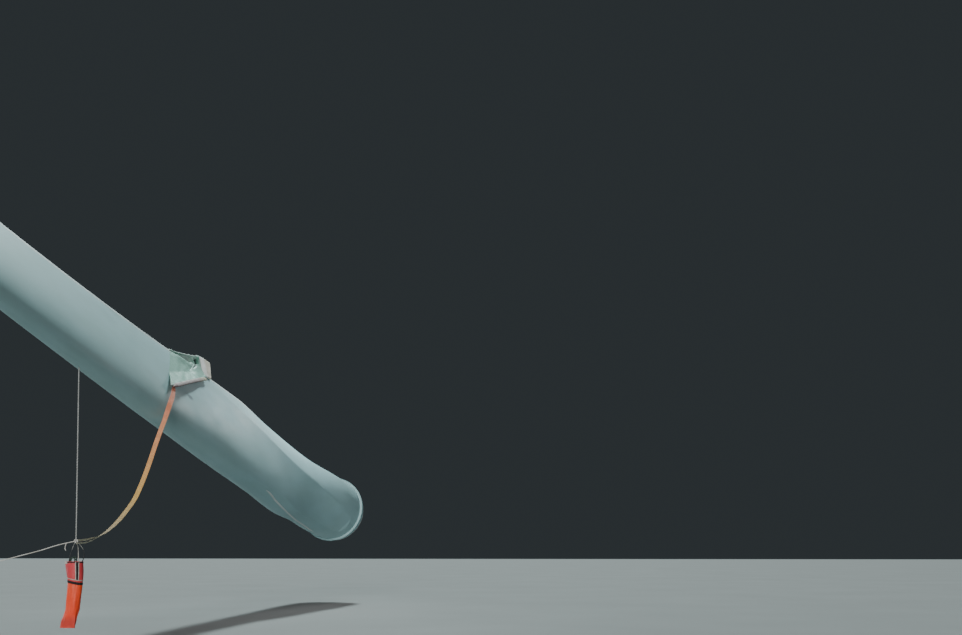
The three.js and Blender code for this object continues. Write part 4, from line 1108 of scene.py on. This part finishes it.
for _ in range(SMOOTHINGS):
    cloth[:, 1:-1] = (cloth[:, :-2] + 2 * cloth[:, 1:-1] + cloth[:, 2:]) / 4
normals = unit(np.cross(np.gradient(cloth, axis=0), np.gradient(cloth, axis=1)))
normals *= np.sign(normals[50, 20, 1])

# Folds, the hole, its slit and its lip push the cloth in or out along its normals. w counts the
# columns round the pad.
w = np.arange(cloth.shape[1])[None]
down_front = 1 - w / f.size
up_wall = (w - f.size) / h.size
on_wall = smooth(up_wall, -0.9, -0.3) * (1 - smooth(up_wall, 0.45, 0.7))
slit = bell(s, SLIT_FOOT + SLIT_LEAN * up_wall, SLIT_WIDTH) * on_wall
hole = bell(s, *HOLE_ALONG) * bell(up_wall, *HOLE_UP)
lip = bell(s, *LIP_ALONG) * bell(up_wall, *LIP_UP)
fold = bell(s, FOLD_FOOT + FOLD_LEAN * np.clip(down_front, 0, 1), FOLD_WIDTH)
fold = fold * smooth(down_front, 0, 0.05)
fold = fold * (1 - smooth(down_front, 0.36, 0.48))
creases = sum(deep * np.sin(along * s + about * w + start) for deep, along, about, start in CREASES)
creases = creases * (0.5 + 0.5 * np.cos(9 * s + 0.05 * w))
deep = FACE_HOLE_DEPTH * hole + SLIT_DEPTH * slit + FOLD_DEPTH * fold
cloth = cloth + normals * (creases + LIP_HEIGHT * lip - deep)[..., None]
thick = np.sqrt(np.clip(np.minimum(w, w.size - 1 - w) / 2, 0.15, 1))
thick = PAD_THICKNESS * thick * (0.35 + 0.65 * np.clip((1 - s) * 12, 0, 1))
lining = cloth - normals * thick[..., None]

# Its hollows take a near black colour: painted shade.
stained_cloth("cover_cloth", (0.14, 0.37, 0.28), (0.21, 0.44, 0.35), 0.6, 5,
              ("X", 13.7, 14.05, (0.4, 0.47, 0.41)),
              [("inner_cloth", (0.4, 0.56, 0.5)), ("painted_hollow_shade", (0.015, 0.045, 0.04))])
cover = surface("edge_cover_pad", np.concatenate([cloth, lining[:, ::-1]], 1), ends="paired")
# Painted shade: the hole, the slit and the fold are coloured near black for the shade inside them.
painted_hollow_shade = np.clip(1.3 * hole + 0.9 * slit + 0.4 * fold, 0, 1)
inner_cloth = smooth(up_wall, 0, 0.1) * (1 - smooth(up_wall, 0.85, 1.0)) * rolled
for name, mark in (("painted_hollow_shade", painted_hollow_shade), ("inner_cloth", inner_cloth)):
    mark = np.concatenate([mark, mark[:, ::-1]], 1)
    cover.data.attributes.new(name, "FLOAT", "POINT").data.foreach_set("value", mark.ravel())
dress(cover, "cover_cloth", "cover_cloth", "edge_cover")


# Cover hem and piping
# A padded tube of greyish pink cloth sewn below the lower edge of the front flap, turning beige towards the
# block, and a thin cord along the ridge's front edge, pale as a painted highlight where that edge catches
# the light.
HEM_ROWS = slice(4, 131)
HEM_WIDE, HEM_TALL = 0.055, 0.03
HEM_BEYOND, HEM_BELOW = 0.062, 0.02
PIPING_RADIUS, PIPING_OUT = 0.013, 0.006

hem_across = unit(cloth[HEM_ROWS, 0] - cloth[HEM_ROWS, 4])
hem_path = cloth[HEM_ROWS, 0] + hem_across * HEM_BEYOND - normals[HEM_ROWS, 0] * HEM_BELOW
step = np.arange(len(hem_path))[:, None, None]
from_end = np.minimum(step, len(hem_path) - 1 - step)
lumps = np.sqrt(np.clip(from_end / 5, 0.1, 1)) * (1 + 0.06 * np.sin(step * 0.7))
stained_cloth("hem_cloth", (0.3, 0.22, 0.22), (0.45, 0.36, 0.35), 0.7, 9,
              ("X", 11.6, 10.8, (0.42, 0.38, 0.24)))
hem = surface("cover_hem", carried(hem_path, hem_across, oval(evenly(20), HEM_WIDE, HEM_TALL) * lumps))
dress(hem, "hem_cloth", "cover_cloth")
ridge_edge = f.size + h.size
along_ridge = normals[:, ridge_edge]
piping = carried(cloth[:, ridge_edge] + along_ridge * PIPING_OUT, along_ridge,
                 oval(evenly(20), PIPING_RADIUS, PIPING_RADIUS))
# Painted highlight: the cord's pale colour stands in for light along the ridge's edge.
stained_cloth("piping_highlight_cloth", (0.72, 0.92, 0.84), (0.8, 0.92, 0.87), 0.6, 12)
dress(surface("cover_piping_highlight", piping), "piping_highlight_cloth", "cover_cloth")


# Edge block
# A block of foam wrapped in white cloth, which sits astride the trailing edge at the root end of the cover.
# Its two feet hang lower towards the cover, and its root end leans over the root, where the cloth turns
# beige as painted shade on the side turned from the light.
BLOCK_FROM, BLOCK_TO = 10.1, 10.6997
BLOCK_FOOT = 0.1
BLOCK_ROWS = np.array([
    # distance out, height above the trailing edge, reach of the feet below it
    [10.1, 0.430, 0.12], [10.4, 0.425, 0.15], [10.6997, 0.375, 0.21],
])
BLOCK_CORNER, BLOCK_END_ROUNDING = 0.09, 0.03
BLOCK_CROWN = 0.012
LEAN_FOOT, LEAN_TOP = -0.02, -0.18
SLOT_CLEAR = 0.012

# One end's insets, then the whole block's: its rings draw in towards both ends.
turned_in = np.linspace(0, 1, 6)
end_inset = BLOCK_END_ROUNDING * (1 - np.sqrt(1 - turned_in**2))[::-1]
middle_x = np.linspace(BLOCK_FROM + 0.05, BLOCK_TO - 0.05, 20)
x = np.concatenate([BLOCK_FROM + BLOCK_END_ROUNDING * turned_in, middle_x,
                    BLOCK_TO - BLOCK_END_ROUNDING * turned_in[::-1]])[:, None]
inset = np.concatenate([end_inset, 0 * middle_x, end_inset[::-1]])[:, None]

# A ring is a saddle's outline with rounded corners, from one foot over the top to the other, and
# back through the slot along both skins. It is moved towards the root, its top much more than
# its feet, and the more the nearer it is to the root end.
top, drop = law(BLOCK_ROWS, x) - inset
leaning = (BLOCK_TO - x) / (BLOCK_TO - BLOCK_FROM)
t = np.linspace(0, 1, 30)[None]
side_x = x + leaning * (LEAN_FOOT + (LEAN_TOP - LEAN_FOOT) * t)
side_u = -drop + (top + drop) * t
side_v = BLOCK_FOOT + (RIDGE_HALF_WIDTH - BLOCK_FOOT) * t - inset
for gap, corner in ((top - side_u, BLOCK_CORNER), (side_u + drop, 0.5 * BLOCK_CORNER)):
    side_v = side_v - 0.5 * corner * (1 - np.sqrt(1 - (1 - np.clip(gap / corner, 0, 1)) ** 2))
across = np.linspace(1, -1, 16)[None, 1:-1]
roof = over_edge(side_x[:, -1:] + 0 * across, top + BLOCK_CROWN * (1 - across**2), side_v[:, -1:] * across)
slot_x, slot_drop = side_x[:, :1] + 0 * t, drop * (1 - t)
block = np.concatenate([
    over_edge(side_x, side_u, side_v), roof, over_edge(side_x[:, ::-1], side_u[:, ::-1], -side_v[:, ::-1]),
    over_skin(slot_x, slot_drop, -1, SLOT_CLEAR), over_skin(slot_x, slot_drop[:, ::-1], 1, SLOT_CLEAR),
], 1)
# Painted shade: the cloth turns beige towards the root end, for the side of the block turned from the light.
stained_cloth("block_cloth", (0.97, 0.98, 0.95), (0.9, 0.91, 0.87), 0.55, 6,
              ("X", 10.12, 9.98, (0.72, 0.67, 0.54)))
block = dress(surface("edge_block_wrapped", block), "block_cloth", "cover_cloth", "edge_block")


# Floor and light
# A plain pale floor at the ground's level. The key light comes from above the root, a fill from
# the tip's side and a third from behind. A lamp hangs near the root, and the surround is dark.
FLOOR_Z, FLOOR_SIZE, FLOOR_MIDDLE_X = -2.95, 400, 15
SUNS = [
    # name, direction that it comes from, energy, width of its source in degrees, colour
    ("key", (-0.66, -0.16, 0.74), 3.9, 5, (0.82, 1.0, 1.0)),
    ("fill", (0.95, 0.15, 0.2), 2.5, 20, (1.0, 0.98, 0.95)),
    ("back", (-0.2, -0.95, 0.2), 1.4, 40, (0.95, 1.0, 1.0)),
]
NEAR_LAMP_AT, NEAR_LAMP_AIM = Vector((4.0, 1.3, 5.0)), Vector((7.0, 0.4, 1.5))
NEAR_LAMP_SIZE, NEAR_LAMP_ENERGY = 1.2, 140
SURROUND_COLOUR, SURROUND_STRENGTH = (0.55, 0.68, 0.74, 1), 0.05

floor_at = np.linspace(-FLOOR_SIZE / 2, FLOOR_SIZE / 2, 9)
floor_x, floor_y = np.meshgrid(floor_at + FLOOR_MIDDLE_X, floor_at, indexing="ij")
floor = surface("floor", np.stack([floor_x, floor_y, FLOOR_Z + 0 * floor_x], -1), closed=False, ends="open")
if floor.data.polygons[0].normal.z < 0:
    floor.data.flip_normals()
tree = new_look("floor_grey", 0.9)
paint(tree, Base_Color=patchy(tree, 0.3, 3, (0.3, (0.2, 0.205, 0.205)), (0.7, (0.22, 0.225, 0.225))))
floor.data.materials.append(looks["floor_grey"])
floor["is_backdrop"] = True

for name, towards, energy, spread, colour in SUNS:
    sun = linked(name, bpy.data.lights.new(name, "SUN"))
    sun.data.energy = energy
    sun.data.angle = math.radians(spread)
    sun.data.color = colour
    aim(sun, towards, "Z")
near_lamp = linked("near_lamp", bpy.data.lights.new("near_lamp", "AREA"))
near_lamp.data.shape = "DISK"
near_lamp.data.size = NEAR_LAMP_SIZE
near_lamp.data.energy = NEAR_LAMP_ENERGY
near_lamp.visible_camera = False
near_lamp.location = NEAR_LAMP_AT
aim(near_lamp, NEAR_LAMP_AT - NEAR_LAMP_AIM, "Z")
world = bpy.data.worlds.new("surround")
world.use_nodes = True
feed(world.node_tree, world.node_tree.nodes["Background"], Color=SURROUND_COLOUR, Strength=SURROUND_STRENGTH)
bpy.context.scene.world = world

bpy.context.view_layer.update()
low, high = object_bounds()
